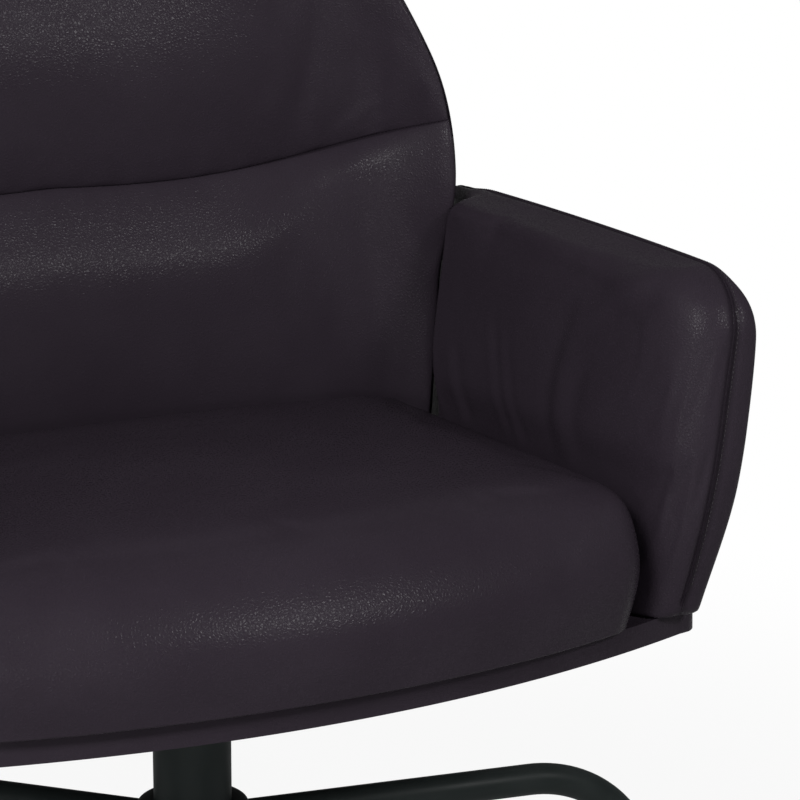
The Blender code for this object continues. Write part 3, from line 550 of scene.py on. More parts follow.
def swell(obj, held, pressure):
    """Runs Cloth on obj with the held points pinned, and returns how far each point moved, capped.

    The foam inside keeps the cover from sinking, so most of an inward move is taken back."""
    start = points_of(obj)
    normal = points_of(obj, "normal")
    pins = obj.vertex_groups.new(name="held")
    for n, weight in enumerate(held):
        if weight > 0:
            pins.add([n], float(weight), "REPLACE")
    cloth = obj.modifiers.new("swell", "CLOTH")
    for field, value in CLOTH.items():
        setattr(cloth.settings, field, value)
    cloth.settings.uniform_pressure_force = pressure
    cloth.settings.effector_weights.gravity = 0.0
    cloth.collision_settings.use_collision = False
    cloth.collision_settings.use_self_collision = False
    cloth.point_cache.frame_start = 1
    cloth.point_cache.frame_end = SWELL_FRAMES
    for number in range(1, SWELL_FRAMES + 1):
        scene.frame_set(number)
    end = points_of(obj.evaluated_get(bpy.context.evaluated_depsgraph_get()))
    obj.modifiers.remove(cloth)
    obj.vertex_groups.clear()
    scene.frame_set(1)
    moved = end - start
    rise = np.sum(moved * normal, axis=1, keepdims=True)
    if rise.mean() < 0:
        rise, normal = -rise, -normal
    moved = moved - FOAM_HOLD * np.minimum(rise, 0) * normal
    length = np.linalg.norm(moved, axis=1, keepdims=True) + 1e-9
    return moved * (SWELL_CAP * np.tanh(length / SWELL_CAP) / length)


def grid_faces(rows, cols, start=0):
    corners = [start + i * cols + j for i in range(rows - 1) for j in range(cols - 1)]
    return [(a, a + cols, a + cols + 1, a + 1) for a in corners]


def blown_grid(name, grid, hold=2):
    """The same grid of points after swelling, with its border rows held."""
    rows, cols = grid.shape[:2]
    mesh = bpy.data.meshes.new(name)
    mesh.from_pydata([tuple(float(c) for c in p) for p in grid.reshape(-1, 3)], [], grid_faces(rows, cols))
    sheet = shown(name, mesh)
    held = np.zeros((rows, cols))
    held[:hold] = held[-hold:] = 1.0
    held[:, :hold] = held[:, -hold:] = 1.0
    moved = swell(sheet, held.ravel(), SHEET_PRESSURE)
    bpy.data.objects.remove(sheet)
    print(name, "swelled by up to", round(1000 * float(np.abs(moved).max()), 1), "mm")
    return grid + moved.reshape(rows, cols, 3)


def closed_pad(name, face, rear, seam_shade, levels=1):
    """One closed soft body between a shown grid and a hidden one with the same layout."""
    rows, cols = face.shape[:2]
    base = rows * cols
    points = np.concatenate([leaned(face.reshape(-1, 3)), leaned(rear.reshape(-1, 3))])
    faces = grid_faces(rows, cols)
    faces += [tuple(reversed(f)) for f in grid_faces(rows, cols, base)]
    edge = list(range(cols))
    edge += [i * cols + cols - 1 for i in range(1, rows)]
    edge += [(rows - 1) * cols + j for j in range(cols - 2, -1, -1)]
    edge += [i * cols for i in range(rows - 2, 0, -1)]
    for k, a in enumerate(edge):
        b = edge[(k + 1) % len(edge)]
        faces.append((a, b, base + b, base + a))
    return shown(name, smooth_mesh(name, points, faces, np.tile(np.ravel(seam_shade), 2)), levels)


def closing_in(count, reach, power=2.0):
    """Shares from 0 to reach that lie closest together at 0, where a cover leaves its seam steeply."""
    return reach * np.linspace(0.0, 1.0, count) ** power


def ripple(along, seed):
    """A few waves of uneven length, which is how a cover gathers along its stitching."""
    waves = [(0.031, 1.0), (0.019, 0.7), (0.047, 0.8), (0.0125, 0.35)]
    total = 0.0
    for n, (length, size) in enumerate(waves):
        total = total + size * np.sin(2 * pi * along / length + 1.7 * n + seed)
    return total / 2.0


print("padding tools ready, simulation", "on")

# %% [markdown]
# ## The seat cushion
# The cushion is a thick foam block with a rounded front, and its cover has no seam on the faces that show.
# It is one grid of heights over the seat and a second one for its underside. The sides are nearly upright,
# so the grid's lines crowd together there. Cloth swells the block while its underside is held on the board.

# %% Seat cushion
CUSHION_HALF = 0.2855
CUSHION_FRONT_TAPER = 0.0105
CUSHION_FRONT = -0.254
CUSHION_REAR = 0.229
CUSHION_DEPTH = CUSHION_REAR - CUSHION_FRONT
CUSHION_REAR_BOW = 0.036
CUSHION_TOP = 0.126
CUSHION_WAIST = 0.022
CUSHION_CROWN = 0.008
CUSHION_CORNER = 0.026
CUSHION_REAR_CORNER = 0.030
TUCK_FRONT = 0.003
TUCK_SIDE = 0.009
TUCK_HEIGHT = 0.058
FRONT_BULGE = 0.005
FRONT_BOW = 0.85

side_ends = closing_in(22, 0.07, 3.2)
across = np.concatenate([-1 + side_ends, np.linspace(-0.93, 0.93, 96)[1:-1], 1 - side_ends[::-1]])
front_end = -1 + closing_in(30, 0.30, 2.2)
along = np.concatenate([front_end, np.linspace(-0.70, 0.93, 72)[1:-1], 1 - side_ends[::-1]])
S, T = np.meshgrid(across, along, indexing="ij")
x = CUSHION_HALF * S
y = CUSHION_DEPTH * (T + 1) / 2
for sign in (-1, 1):
    x, y = round_corner(x, y, (sign * CUSHION_HALF, 0.0), sign, -1, CUSHION_CORNER)
    x, y = round_corner(x, y, (sign * CUSHION_HALF, CUSHION_DEPTH), sign, 1, CUSHION_REAR_CORNER)
back_share = y / CUSHION_DEPTH
x = x * (1 - CUSHION_FRONT_TAPER / CUSHION_HALF * (1 - back_share))
rear_bow = CUSHION_REAR_BOW * np.abs(x / CUSHION_HALF) ** 3
y = CUSHION_FRONT + y + x * x / (2 * FRONT_BOW) * (1 - back_share) - rear_bow * back_share
front_sharp = 9 + 11 * np.abs(S) ** 6
edges = roll(S, 40, 3.5) * roll(np.minimum(T, 0), front_sharp, 2.3) * roll(np.maximum(T, 0), 40, 3.5)
crown = CUSHION_CROWN * (1 - S**2) * (1 - T**2)
top = CUSHION_WAIST + (CUSHION_TOP - 0.0015 - CUSHION_WAIST) * edges + crown
foot_height = BOARD_T + 2 * GAP
foot = CUSHION_WAIST - (CUSHION_WAIST - foot_height) * roll(S, 60, 2.4) * roll(T, 60, 2.4)


def toward_front(t):
    """Share of the side's tuck, 1 at the cushion's front and 0 behind its middle."""
    return soft_step((0.2 - t) / 0.8)


def tuck_share(height):
    """1 at the board, 0 where the tuck ends."""
    return np.clip(1 - (height - BOARD_T) / TUCK_HEIGHT, 0, 1) ** 2


near_side = soft_step((np.abs(S) - 0.6) / 0.4) * np.sign(S) * toward_front(T)
near_front = soft_step((-T - 0.5) / 0.5)


def tucked(height):
    """The cushion's points at the given heights, drawn in towards the board at the front and the sides."""
    low = tuck_share(height)
    out = FRONT_BULGE * np.exp(-(((height - 0.066) / 0.030) ** 2))
    return np.stack([x - TUCK_SIDE * low * near_side, y + (TUCK_FRONT * low - out) * near_front, height], 2)


under = tucked(np.full(S.shape, CUSHION_WAIST))
under[:, :, 2] = foot
cushion = closed_pad("cushion", tucked(top), under, np.zeros(S.shape), 0)
place = points_of(cushion)
height = ((place - np.array(LEANING.translation)) @ np.array(LEANING.to_3x3()))[:, 2]
held = (height < CUSHION_WAIST + 0.004).astype(float)
place = place + swell(cushion, held, BLOCK_PRESSURE)
cushion.data.vertices.foreach_set("co", place.ravel())
finer = cushion.modifiers.new("finer", "SUBSURF")
finer.levels = finer.render_levels = 1
dress(cushion, "seat", panel_leather, "faux_leather", "seat_cushion")
print("cushion points:", len(cushion.data.vertices))

# %% [markdown]
# ## The back
# Two stuffed panels are sewn to each other along a curved seam at the lumbar and to a shell behind them
# round the edge. The lower panel fills out against the sitter's loins, the upper one below the head. The
# wings at the sides come forward round the sitter. Close to the seam both panels turn in sharply and gather
# a little.

# %% Back sizes
BACK_BOTTOM = 0.0183
BACK_TOP = 0.715
BACK_HEIGHTS = (0.00, 0.12, 0.20, 0.30, 0.34, 0.394, 0.424, 0.45, 0.50, 0.55, 0.60, 0.65, 0.69, 0.72)
BACK_HALVES = (0.300, 0.312, 0.320, 0.326, 0.3265, 0.319, 0.309, 0.299, 0.279, 0.260, 0.244, 0.232, 0.225,
               0.221)
CENTRE_HEIGHTS = (0.00, 0.12, 0.3135, 0.475, 0.62, 0.72)
CENTRE_DEPTHS = (0.289, 0.288, 0.300, 0.332, 0.375, 0.409)
BACK_WRAP = 0.130
BACK_WRAP_LOW = 0.098
SEAM_HEIGHT = 0.3125
SEAM_RISE = 0.042
SEAM_SAG = 0.009
SEAM_T = 0.043
LOWER_BULGE = 0.024
UPPER_BULGE = 0.027
UPPER_FULLEST = 0.327
SHELL_T = 0.044
SHELL_RIM = 0.009
RIM_BACK = 0.010
HEAD_ROUND = 0.130
HEAD_CROWN = 0.022
SEAM_PULL = 0.0008
SEAM_TURN = 0.0018
SEAM_SHADE_AMOUNT = 0.4
SEAM_SHADE_REACH = 0.0012
EDGE_SHADE_REACH = 0.004
RIM_SHADE_REACH = 0.002
GATHER = 0.0009
GATHER_REACH = 0.018
GATHER_START = 0.004
SHOULDER_LOW = 0.062
SHOULDER_END = 0.008
RECESS_LOW = 0.0245
RECESS_END = 0.0150
SOFT_LOW = 0.008
SOFT_END = 0.005


def back_half(h):
    return through(BACK_HEIGHTS, BACK_HALVES, h)


def back_plane(s, h):
    """Depth of the surface under the panels: flat with forward wings below, evenly curved at the head."""
    held_back = (1 - soft_step((h - 0.21) / 0.10)) * soft_step((np.abs(s) - 0.6) / 0.4)
    wrap = BACK_WRAP - (BACK_WRAP - BACK_WRAP_LOW) * held_back
    wrap = wrap * (1.0 - 0.45 * soft_step((h - 0.35) / 0.4))
    wings = 0.14 * s**2 + 0.86 * np.abs(s) ** 8
    curve = wings + (s**2 - wings) * soft_step((h - 0.38) / 0.25)
    return through(CENTRE_HEIGHTS, CENTRE_DEPTHS, h) - wrap * curve


def lumbar_seam(s):
    wide = np.minimum(np.abs(s), 1.0)
    return SEAM_HEIGHT + SEAM_RISE * wide**1.8 - SEAM_SAG * np.sin(pi * wide**1.15)


def head_round(s, h, top):
    """Rounds the two upper corners of a grid of width shares and heights, and drops its top at the sides."""
    wide = float(back_half(BACK_TOP))
    x = s * wide
    for sign in (-1, 1):
        x, h = round_corner(x, h, (sign * wide, top), sign, 1, HEAD_ROUND)
    s = x / wide
    return s, h - HEAD_CROWN * s**2 * soft_step((h - top + 0.25) / 0.25)


def back_points(s, h, inset, forward):
    return np.stack([s * (back_half(h) - inset), back_plane(s, h) - forward, h], 2)


def sewn_panel(stem, node, s, form, to_seam, face, rear, seed):
    """Swells one panel, draws it in at the seam with small gathers, and closes it."""
    face = blown_grid(stem + "_sheet", face)
    pull = SEAM_PULL * np.exp(-to_seam / SEAM_TURN)
    gather = GATHER * ripple(face[:, :, 0], seed) * np.exp(-to_seam / GATHER_REACH)
    face[:, :, 1] += (pull + gather * soft_step(to_seam / GATHER_START)) * roll(s, 9, 2.0)
    # Painted shade: darker along the lumbar seam and at the panel's thin edges where it meets the shell.
    seam_shading = SEAM_SHADE_AMOUNT * np.exp(-to_seam / SEAM_SHADE_REACH)
    seam_shading = seam_shading + np.exp(-np.minimum(form, 0.05) / EDGE_SHADE_REACH)
    made = closed_pad(stem + "_pad", face, rear, np.clip(seam_shading, 0, 1))
    dress(made, "seat", panel_leather, "faux_leather", node)
    print(made.name, "points:", len(made.data.vertices))


print("back height", round(BACK_TOP - BACK_BOTTOM, 3))

# %% Lower back panel
back_s = spread(100)
lower_t = (1 - np.cos(pi * np.linspace(0, 1, 56))) / 2
S, T = np.meshgrid(back_s, lower_t, indexing="ij")
H = BACK_BOTTOM + GAP + T * (lumbar_seam(S) - BACK_BOTTOM - GAP)
to_seam = lumbar_seam(S) - H
form = SEAM_T + LOWER_BULGE * np.sin(pi * np.minimum(T**1.6, 0.5)) ** 0.9
outward = soft_step((np.abs(S) - 0.42) / 0.45)
shoulder = SHOULDER_LOW + (SHOULDER_END - SHOULDER_LOW) * outward
soft = SOFT_LOW + (SOFT_END - SOFT_LOW) * outward
fall = np.log1p(np.exp((shoulder - to_seam) / soft)) / np.log1p(np.exp(shoulder / soft))
form = form - (RECESS_LOW + (RECESS_END - RECESS_LOW) * outward) * fall
form = form * roll(S, 7, 2.0) * (0.45 + 0.55 * roll(1 - T, 6, 2.0))
face = back_points(S, H, SHELL_RIM / 2, GAP + form)
rear = back_points(S, H, SHELL_RIM / 2, GAP)
sewn_panel("lower_back", "back_lower", S, form, to_seam, face, rear, 0.4)

# %% Upper back panel
upper_t = (1 - np.cos(pi * np.linspace(0, 1, 84))) / 2
S, T = np.meshgrid(back_s, upper_t, indexing="ij")
H = lumbar_seam(S) + T * (BACK_TOP - SHELL_RIM - lumbar_seam(S))
to_seam = H - lumbar_seam(S)
S2, H2 = head_round(S, H, BACK_TOP - SHELL_RIM)
rising = np.sin(0.5 * pi * np.minimum(T / UPPER_FULLEST, 1.0) ** 0.85)
falling = np.sin(pi * np.maximum(T, UPPER_FULLEST) ** 0.62)
form = SEAM_T + UPPER_BULGE * rising * falling * (1 - 0.25 * T)
form = form * roll(S, 7, 2.0) * roll(T, 7, 2.2)
face = back_points(S2, H2, SHELL_RIM / 2, GAP + form * 0.98)
rear = back_points(S2, H2, SHELL_RIM / 2, GAP)
sewn_panel("upper_back", "back_upper", S, form, to_seam, face, rear, 2.1)

# %% [markdown]
# The shell is a covered board behind the panels. Its cover comes round the edge as a narrow rounded border,
# and the edge seam runs inside that border. The grid is dense at the border, where it shows, and wide
# elsewhere.

# %% Back shell
edge_steps = np.linspace(0.0, 1.0, 9)
half_width = BACK_HALVES[0]
side_s = 1.0 - (SHELL_RIM / half_width) * (1 - np.sin(0.5 * pi * edge_steps))
inner_s = np.sin(np.linspace(0.0, 1.0, 34) * np.arcsin(side_s[0]))[:-1]
right_s = np.concatenate([inner_s, side_s])
shell_s = np.concatenate([-right_s[:0:-1], right_s])
rim_t = SHELL_RIM / (BACK_TOP - BACK_BOTTOM)
top_t = 1.0 - rim_t * (1 - np.sin(0.5 * pi * edge_steps))
shell_t = np.concatenate([np.linspace(0.0, 0.9, 50), np.linspace(0.9, top_t[0], 14)[1:-1], top_t])
S, T = np.meshgrid(shell_s, shell_t, indexing="ij")
S2, H2 = head_round(S, BACK_BOTTOM + T * (BACK_TOP - BACK_BOTTOM), BACK_TOP)
to_side = (1 - np.abs(S)) * half_width
to_top = (1 - T) * (BACK_TOP - BACK_BOTTOM)
to_edge = np.minimum(to_side, to_top)
turned_in = np.clip(1 - to_edge / SHELL_RIM, 0, 1)
bevel = RIM_BACK * (1 - np.sqrt(1 - turned_in**2))
front = back_points(S2, H2, -SHELL_RIM / 2, -2 * GAP)
front[:, :, 1] += bevel
rank_s = np.arcsin(np.clip(S, -1, 1)) * 2 / pi
rank_t = np.arccos(1 - 2 * np.clip(T, 0, 1)) / pi
thick = SHELL_T * roll(rank_s, 5, 2.0) * roll(rank_t, 9, 2.0)
rear = front.copy()
rear[:, :, 1] += np.maximum(thick - bevel, 0.0)
# Painted shade along the rim seam.
rim_shade = np.exp(-np.abs(to_edge - SHELL_RIM) / RIM_SHADE_REACH)
shell = closed_pad("back_shell_cover", front, rear, rim_shade)
dress(shell, "seat", panel_leather, "faux_leather", "back_shell")
print("shell points:", len(shell.data.vertices))

# %% [markdown]
# ## The arms
# Each arm is a sandwich: a padded inner face and a firm outer cover meet along one stitched seam, which
# runs up the front and along the top. Both faces are grids over the same upright sheet, so that they meet
# exactly.

# %% Arm sizes
ARM_FOOT_X = 0.312
ARM_LEAN = 0.15
ARM_FLARE = 0.025
ARM_TOP = 0.284
ARM_TOP_RISE = 0.04
ARM_TOP_BOW = 0.0028
ARM_REAR_DIP = 0.0025
ARM_FRONT_FOOT = -0.192
ARM_FRONT = -0.221
ARM_REAR = 0.262
ARM_PAD_T = 0.052
ARM_PAD_REAR = 0.0075
ARM_PAD_REAR_LEAN = 0.053
ARM_SHELL_T = 0.028
ARM_STRIP = 0.026
ARM_PAD_FOOT = 0.76
ARM_PAD_END = 0.158
ARM_PAD_TURN = 0.018
PAD_EASE = 0.002
PAD_CLEAR = 0.0055
PAD_GATHER = 0.0006
ARM_SHADE_REACH = 0.0022
SEAM_OUT = 0.0030
SEAM_DIP = 0.0024
SIDES = (("left", -1), ("right", 1))


def arm_sheet(sign, s, t):
    """The upright sheet that an arm's pad and outer cover meet on, as grids of x, y and height."""
    length = ARM_REAR - ARM_FRONT
    run = s * length
    rise = t * ARM_TOP
    run, rise = round_corner(run, rise, (0.0, ARM_TOP), -1, 1, 0.052)
    run, rise = round_corner(run, rise, (length, ARM_TOP), 1, 1, 0.040)
    run, rise = round_corner(run, rise, (0.0, 0.0), -1, -1, 0.008)
    y = ARM_FRONT + run
    low = BOARD_T + GAP
    top = ARM_TOP + ARM_TOP_RISE * y + ARM_TOP_BOW * np.sin(pi * np.clip(s, 0, 1))
    top = top - ARM_REAR_DIP * soft_step((y - 0.176) / 0.034)
    h = low + (top - low) * rise / ARM_TOP
    tuck = (ARM_FRONT_FOOT - ARM_FRONT) * (1 - np.sin(0.5 * pi * np.clip(h / 0.16, 0, 1)))
    y = y + tuck * np.clip(1 - run / length, 0, 1) ** 2
    x = ARM_FOOT_X + ARM_LEAN * (h - low) + ARM_FLARE * (y + 0.1)
    return sign * x, y, h


def drawn_in(y, h, off_seam):
    """How far the two faces dip into their common seam, as moves of y and height."""
    to_y = np.clip(y, ARM_FRONT + 0.06, ARM_REAR - 0.06) - y
    to_h = np.minimum(h, ARM_TOP - 0.07) - h
    far = np.hypot(to_y, to_h) + 1e-6
    depth = SEAM_DIP * np.exp(-((off_seam / 0.0030) ** 2)) * (h > BOARD_T + 0.01)
    return depth * to_y / far, depth * to_h / far


print("arm length", round(ARM_REAR - ARM_FRONT, 3))

# %% [markdown]
# The inner face is slack enough to fold where the sitter's elbow presses it. A fold is a line drawn on the
# face. Each point of the face knows how far it is from that line and on which side, so one side can be a
# valley and the other a rounded ridge, as in a real fold. A fold fades in and out along its line.

# %% Folds
FOLD_MAIN = [(-0.185, 0.268), (-0.153, 0.242), (-0.123, 0.218), (-0.094, 0.196), (-0.082, 0.172),
             (-0.082, 0.152), (-0.095, 0.132), (-0.112, 0.108)]
FOLD_EDGE = [(-0.070, 0.262), (-0.056, 0.235), (-0.045, 0.200), (-0.043, 0.160), (-0.052, 0.118)]
FOLD_REAR = [(0.060, 0.222), (0.041, 0.175), (0.014, 0.115)]
FOLD_NEXT = [(0.036, 0.216), (0.018, 0.163), (-0.008, 0.112)]
FOLD_BACK = [(0.120, 0.190), (0.104, 0.150), (0.086, 0.112)]


def from_line(y, h, line):
    """Signed distance from a smooth line through (y, height) points, and the share along that line."""
    line = np.asarray(line)
    reach = np.concatenate([[0.0], np.cumsum(np.linalg.norm(np.diff(line, axis=0), axis=1))])
    at = np.linspace(0.0, reach[-1], 60)
    fine = np.stack([through(reach, line[:, 0], at), through(reach, line[:, 1], at)], 1)
    nearest = np.full(y.shape, 9.0)
    away = np.zeros(y.shape)
    share = np.zeros(y.shape)
    for n, (start, end) in enumerate(zip(fine[:-1], fine[1:])):
        step = end - start
        off_y = y - start[0]
        off_h = h - start[1]
        f = np.clip((off_y * step[0] + off_h * step[1]) / (step @ step), 0, 1)
        gap = np.hypot(off_y - f * step[0], off_h - f * step[1])
        closer = gap < nearest
        nearest = np.where(closer, gap, nearest)
        side = np.where(off_h * step[0] - off_y * step[1] > 0, 1.0, -1.0)
        away = np.where(closer, gap * side, away)
        share = np.where(closer, (n + f) / (len(fine) - 1), share)
    return away, share


def bell(q):
    return np.exp(-q * q)


MAIN_VALLEY = 0.0030
MAIN_RIDGE = 0.0020
MAIN_FLAT = 0.0025
EDGE_VALLEY = 0.0016
SMALL_FOLDS = ((FOLD_REAR, 0.0009, 0.0070), (FOLD_NEXT, 0.0008, 0.0065), (FOLD_BACK, 0.0010, 0.0090))


def faded(share, fade_in, fade_out):
    """0 at both ends of a fold, 1 in between."""
    return soft_step(share / fade_in) * soft_step((1 - share) / fade_out)


def elbow_folds(y, h):
    """Height of all folds of one inner face, outwards positive."""
    away, share = from_line(y, h, FOLD_MAIN)
    behind = soft_step((away - 0.02) / 0.03) * (1 - soft_step((away - 0.06) / 0.05))
    main = MAIN_RIDGE * bell((away - 0.022) / 0.015) - MAIN_VALLEY * bell(away / 0.0125) - MAIN_FLAT * behind
    total = main * faded(share, 0.18, 0.45)
    away, share = from_line(y, h, FOLD_EDGE)
    total = total - EDGE_VALLEY * bell(away / 0.013) * faded(share, 0.3, 0.2)
    for line, size, wide in SMALL_FOLDS:
        away, share = from_line(y, h, line)
        form = 0.8 * bell((away - 0.012) / wide) - bell(away / wide)
        total = total + size * form * faded(share, 0.35, 0.15)
    return total


print("folds of one arm: 5")


# %% Arm pads
def arm_pad(name, sign):
    ends = closing_in(22, 0.06)
    s = np.concatenate([ends, np.linspace(0.06, 0.94, 118)[1:-1], 1 - ends[::-1]])
    t = np.concatenate([np.linspace(0.0, 0.88, 62)[:-1], 1 - closing_in(20, 0.12)[::-1]])
    S, T = np.meshgrid(s, t, indexing="ij")
    x, y, h = arm_sheet(sign, S, T)
    pad_rear = ARM_PAD_REAR + ARM_PAD_REAR_LEAN * (h - BOARD_T)
    fuller = np.sqrt(np.clip((h - BOARD_T) / 0.13, 0, 1))
    pad_front = ARM_PAD_T * (ARM_PAD_FOOT + (1 - ARM_PAD_FOOT) * fuller)
    pad_end = ARM_PAD_END - 0.012 * (1 - soft_step((h - 0.12) / 0.06)) - 0.002 * soft_step((h - 0.20) / 0.07)
    pad = pad_front + (pad_rear - pad_front) * soft_step((y - pad_end) / ARM_PAD_TURN)
    taper = CUSHION_FRONT_TAPER * np.clip((CUSHION_REAR - y) / CUSHION_DEPTH, 0, 1)
    beside = CUSHION_HALF - taper + PAD_CLEAR
    forward = toward_front(2 * (y - CUSHION_FRONT) / CUSHION_DEPTH - 1)
    beside = beside - 0.0008 * forward - TUCK_SIDE * forward * tuck_share(h)
    spare = np.abs(x) - beside + 0.012 * soft_step((h - 0.115) / 0.06)
    pad = pad - PAD_EASE * np.log1p(np.exp((pad - spare) / PAD_EASE))
    pad = pad * roll(2 * S - 1, 7, 2.1) * roll(T, 16 + 44 * soft_step((y - 0.08) / 0.08), 2.1)
    face = np.stack([x - sign * (GAP / 2 + pad * 0.97), y, h], 2)
    face = blown_grid(name + "_sheet", face)
    gather = PAD_GATHER * ripple(y + 0.7 * h, 1.3 + sign) * np.exp(-pad / 0.020)
    face[:, :, 0] -= sign * (elbow_folds(y, h) + gather) * np.minimum(1, pad / 0.03)
    dip_y, dip_h = drawn_in(y, h, pad)
    face[:, :, 1] += dip_y
    face[:, :, 2] += dip_h
    rear = np.stack([x - sign * GAP / 2, y + dip_y, h + dip_h], 2)
    # Painted shade where the pad thins out at its seam and edges.
    made = closed_pad(name, face, rear, np.clip(np.exp(-pad / ARM_SHADE_REACH), 0, 1))
    dress(made, "seat", panel_leather, "faux_leather", name.replace("inner_pad", "pad"))
    return made


for side, sign in SIDES:
    made = arm_pad("arm_inner_pad_" + side, sign)
    print(made.name, "points:", len(made.data.vertices))


# %% [markdown]
# The outer cover wraps a firm side. At the front it turns the corner as a strip, 26 mm wide, up to the
# seam. The corner is a rounded box section, so its points are set along that section and not along the
# arm's length.

# %% Arm covers
def arm_cover(name, sign):
    boxy = 2 / 4.5
    turn = np.linspace(0.0, 0.5 * pi, 22)
    corner = 0.032
    s_turn = corner * (1 - np.cos(turn) ** boxy)
    s_side = corner + (1 - corner) * np.sin(0.5 * pi * np.linspace(0, 1, 70))
    s = np.concatenate([s_turn, s_side[1:]])
    swing = np.concatenate([np.sin(turn) ** boxy, np.ones(len(s_side) - 1)])
    t = np.concatenate([np.linspace(0.0, 0.88, 52)[:-1], 1 - closing_in(18, 0.12)[::-1]])
    S, T = np.meshgrid(s, t, indexing="ij")
    x, y, h = arm_sheet(sign, S, T)
    strip = ARM_STRIP * (1 - soft_step(S / 0.25)) * (0.75 + 0.25 * soft_step(T / 0.4))
    side_form = ARM_SHELL_T * roll(2 * S - 1, 6, 2.0) * (0.86 + 0.14 * soft_step(T / 0.5))
    side_form = np.where(S < corner, 0.0, side_form)
    cover = np.maximum(side_form, strip) * swing[:, None] * roll(T, 7, 2.0)
    dip_y, dip_h = drawn_in(y, h, cover)
    outer = np.stack([x + sign * (GAP / 2 + cover), y + dip_y, h + dip_h], 2)
    inner = np.stack([x + sign * GAP / 2, y + dip_y, h + dip_h], 2)
    # Painted shade where the cover thins out at its seam and edges.
    made = closed_pad(name, outer, inner, np.clip(np.exp(-cover / ARM_SHADE_REACH), 0, 1))
    dress(made, "seat", panel_leather, "faux_leather", name.replace("cover", "shell"))
    return made


covers = {}
for side, sign in SIDES:
    covers[side] = arm_cover("arm_cover_" + side, sign)
    print(covers[side].name, "points:", len(covers[side].data.vertices))


# %% [markdown]
# ## Top stitching
# A row of stitches follows the arm seam on the side of the cover. Each stitch is a short rounded piece of
# thread that dips into the leather at both ends. The seam's own line is known from the arm's sheet, so the
# row is that line, moved 3 mm outwards and laid on the nearest point of the cover.

# %% Arm stitches
STITCH_R = 0.00036
STITCH_PITCH = 0.0036
STITCH_SHARE = 0.72


def between_rings(first, second, sides):
    """The faces that join two rings of points, each given by the number of its first point."""
    turns = [(k, (k + 1) % sides) for k in range(sides)]
    return [(first + k, first + n, second + n, second + k) for k, n in turns]


def capsule(start, end, up, radius, sides=6):
    """Points and faces of one stitch: a thread that rises between its two holes."""
    length = (end - start).length
    along = (end - start).normalized()
    across = along.cross(up).normalized()
    up = across.cross(along).normalized()
    points = []
    rings = 7
    for n in range(rings):
        f = n / (rings - 1)
        r = radius * (0.35 + 0.65 * sin(pi * f) ** 0.5)
        middle = start + along * length * f + up * radius * (1.3 * sin(pi * f) - 0.6)
        for k in range(sides):
            a = 2 * pi * k / sides
            points.append(middle + across * r * cos(a) + up * r * sin(a))
    faces = []
    for n in range(rings - 1):
        faces += between_rings(n * sides, (n + 1) * sides, sides)
    faces.append(tuple(reversed(range(sides))))
    faces.append(tuple((rings - 1) * sides + k for k in range(sides)))
    return points, faces


def evenly(points, pitch):
    """Points along a polyline at an even pitch."""
    points = np.asarray(points)
    steps = np.linalg.norm(np.diff(points, axis=0), axis=1)
    reach = np.concatenate([[0.0], np.cumsum(steps)])
    at = np.arange(0.0, reach[-1], pitch)
    return np.stack([np.interp(at, reach, points[:, k]) for k in range(3)], 1)


def arm_stitches(name, sign, cover):
    held = cover.evaluated_get(bpy.context.evaluated_depsgraph_get())
    work = bmesh.new()
    work.from_mesh(held.to_mesh())
    tree = BVHTree.FromBMesh(work)
    t_up = np.linspace(0.10, 1.0, 120)
    s_along = np.linspace(0.0, 0.86, 160)[1:]
    s = np.concatenate([np.zeros(len(t_up)), s_along])
    t = np.concatenate([t_up, np.ones(len(s_along))])
    x, y, h = arm_sheet(sign, s[:, None], t[:, None])
    line = np.stack([x + sign * SEAM_OUT, y, h], 2)[:, 0]
    holes = evenly([tuple(tree.find_nearest(Vector(point))[0]) for point in leaned(line)], STITCH_PITCH)
    points = []
    faces = []
    for a, b in zip(holes[:-1], holes[1:]):
        a = Vector(a)
        b = a + (Vector(b) - a) * STITCH_SHARE
        normal = tree.find_nearest((a + b) / 2)[1]
        ring, skin = capsule(a, b, normal, STITCH_R)
        faces += [tuple(len(points) + n for n in f) for f in skin]
        points += ring
    work.free()
    mesh = bpy.data.meshes.new(name)
    mesh.from_pydata([tuple(p) for p in points], [], faces)
    for face in mesh.polygons:
        face.use_smooth = True
    made = shown(name, mesh)
    dress(made, "seat", thread_look, "faux_leather")
    return made, len(holes) - 1


for side, sign in SIDES:
    made, count = arm_stitches("arm_stitching_" + side, sign, covers[side])
    print(made.name, "stitches:", count)

# %% [markdown]
# ## The seat board
# The board is plywood wrapped in the same leather, stretched tight, so it has a smooth rounded edge and
# finer relief. It is drawn from the board's outline with many points, and its edges are rounded by a Bevel
# modifier.

# %% Covered board
def rounded(obj, width, segments, degrees):
    """Rounds the edges of an object that are sharper than an angle."""
    edge = obj.modifiers.new("rounded_edge", "BEVEL")
    edge.width = width
    edge.segments = segments
    edge.limit_method = "ANGLE"
    edge.angle_limit = radians(degrees)


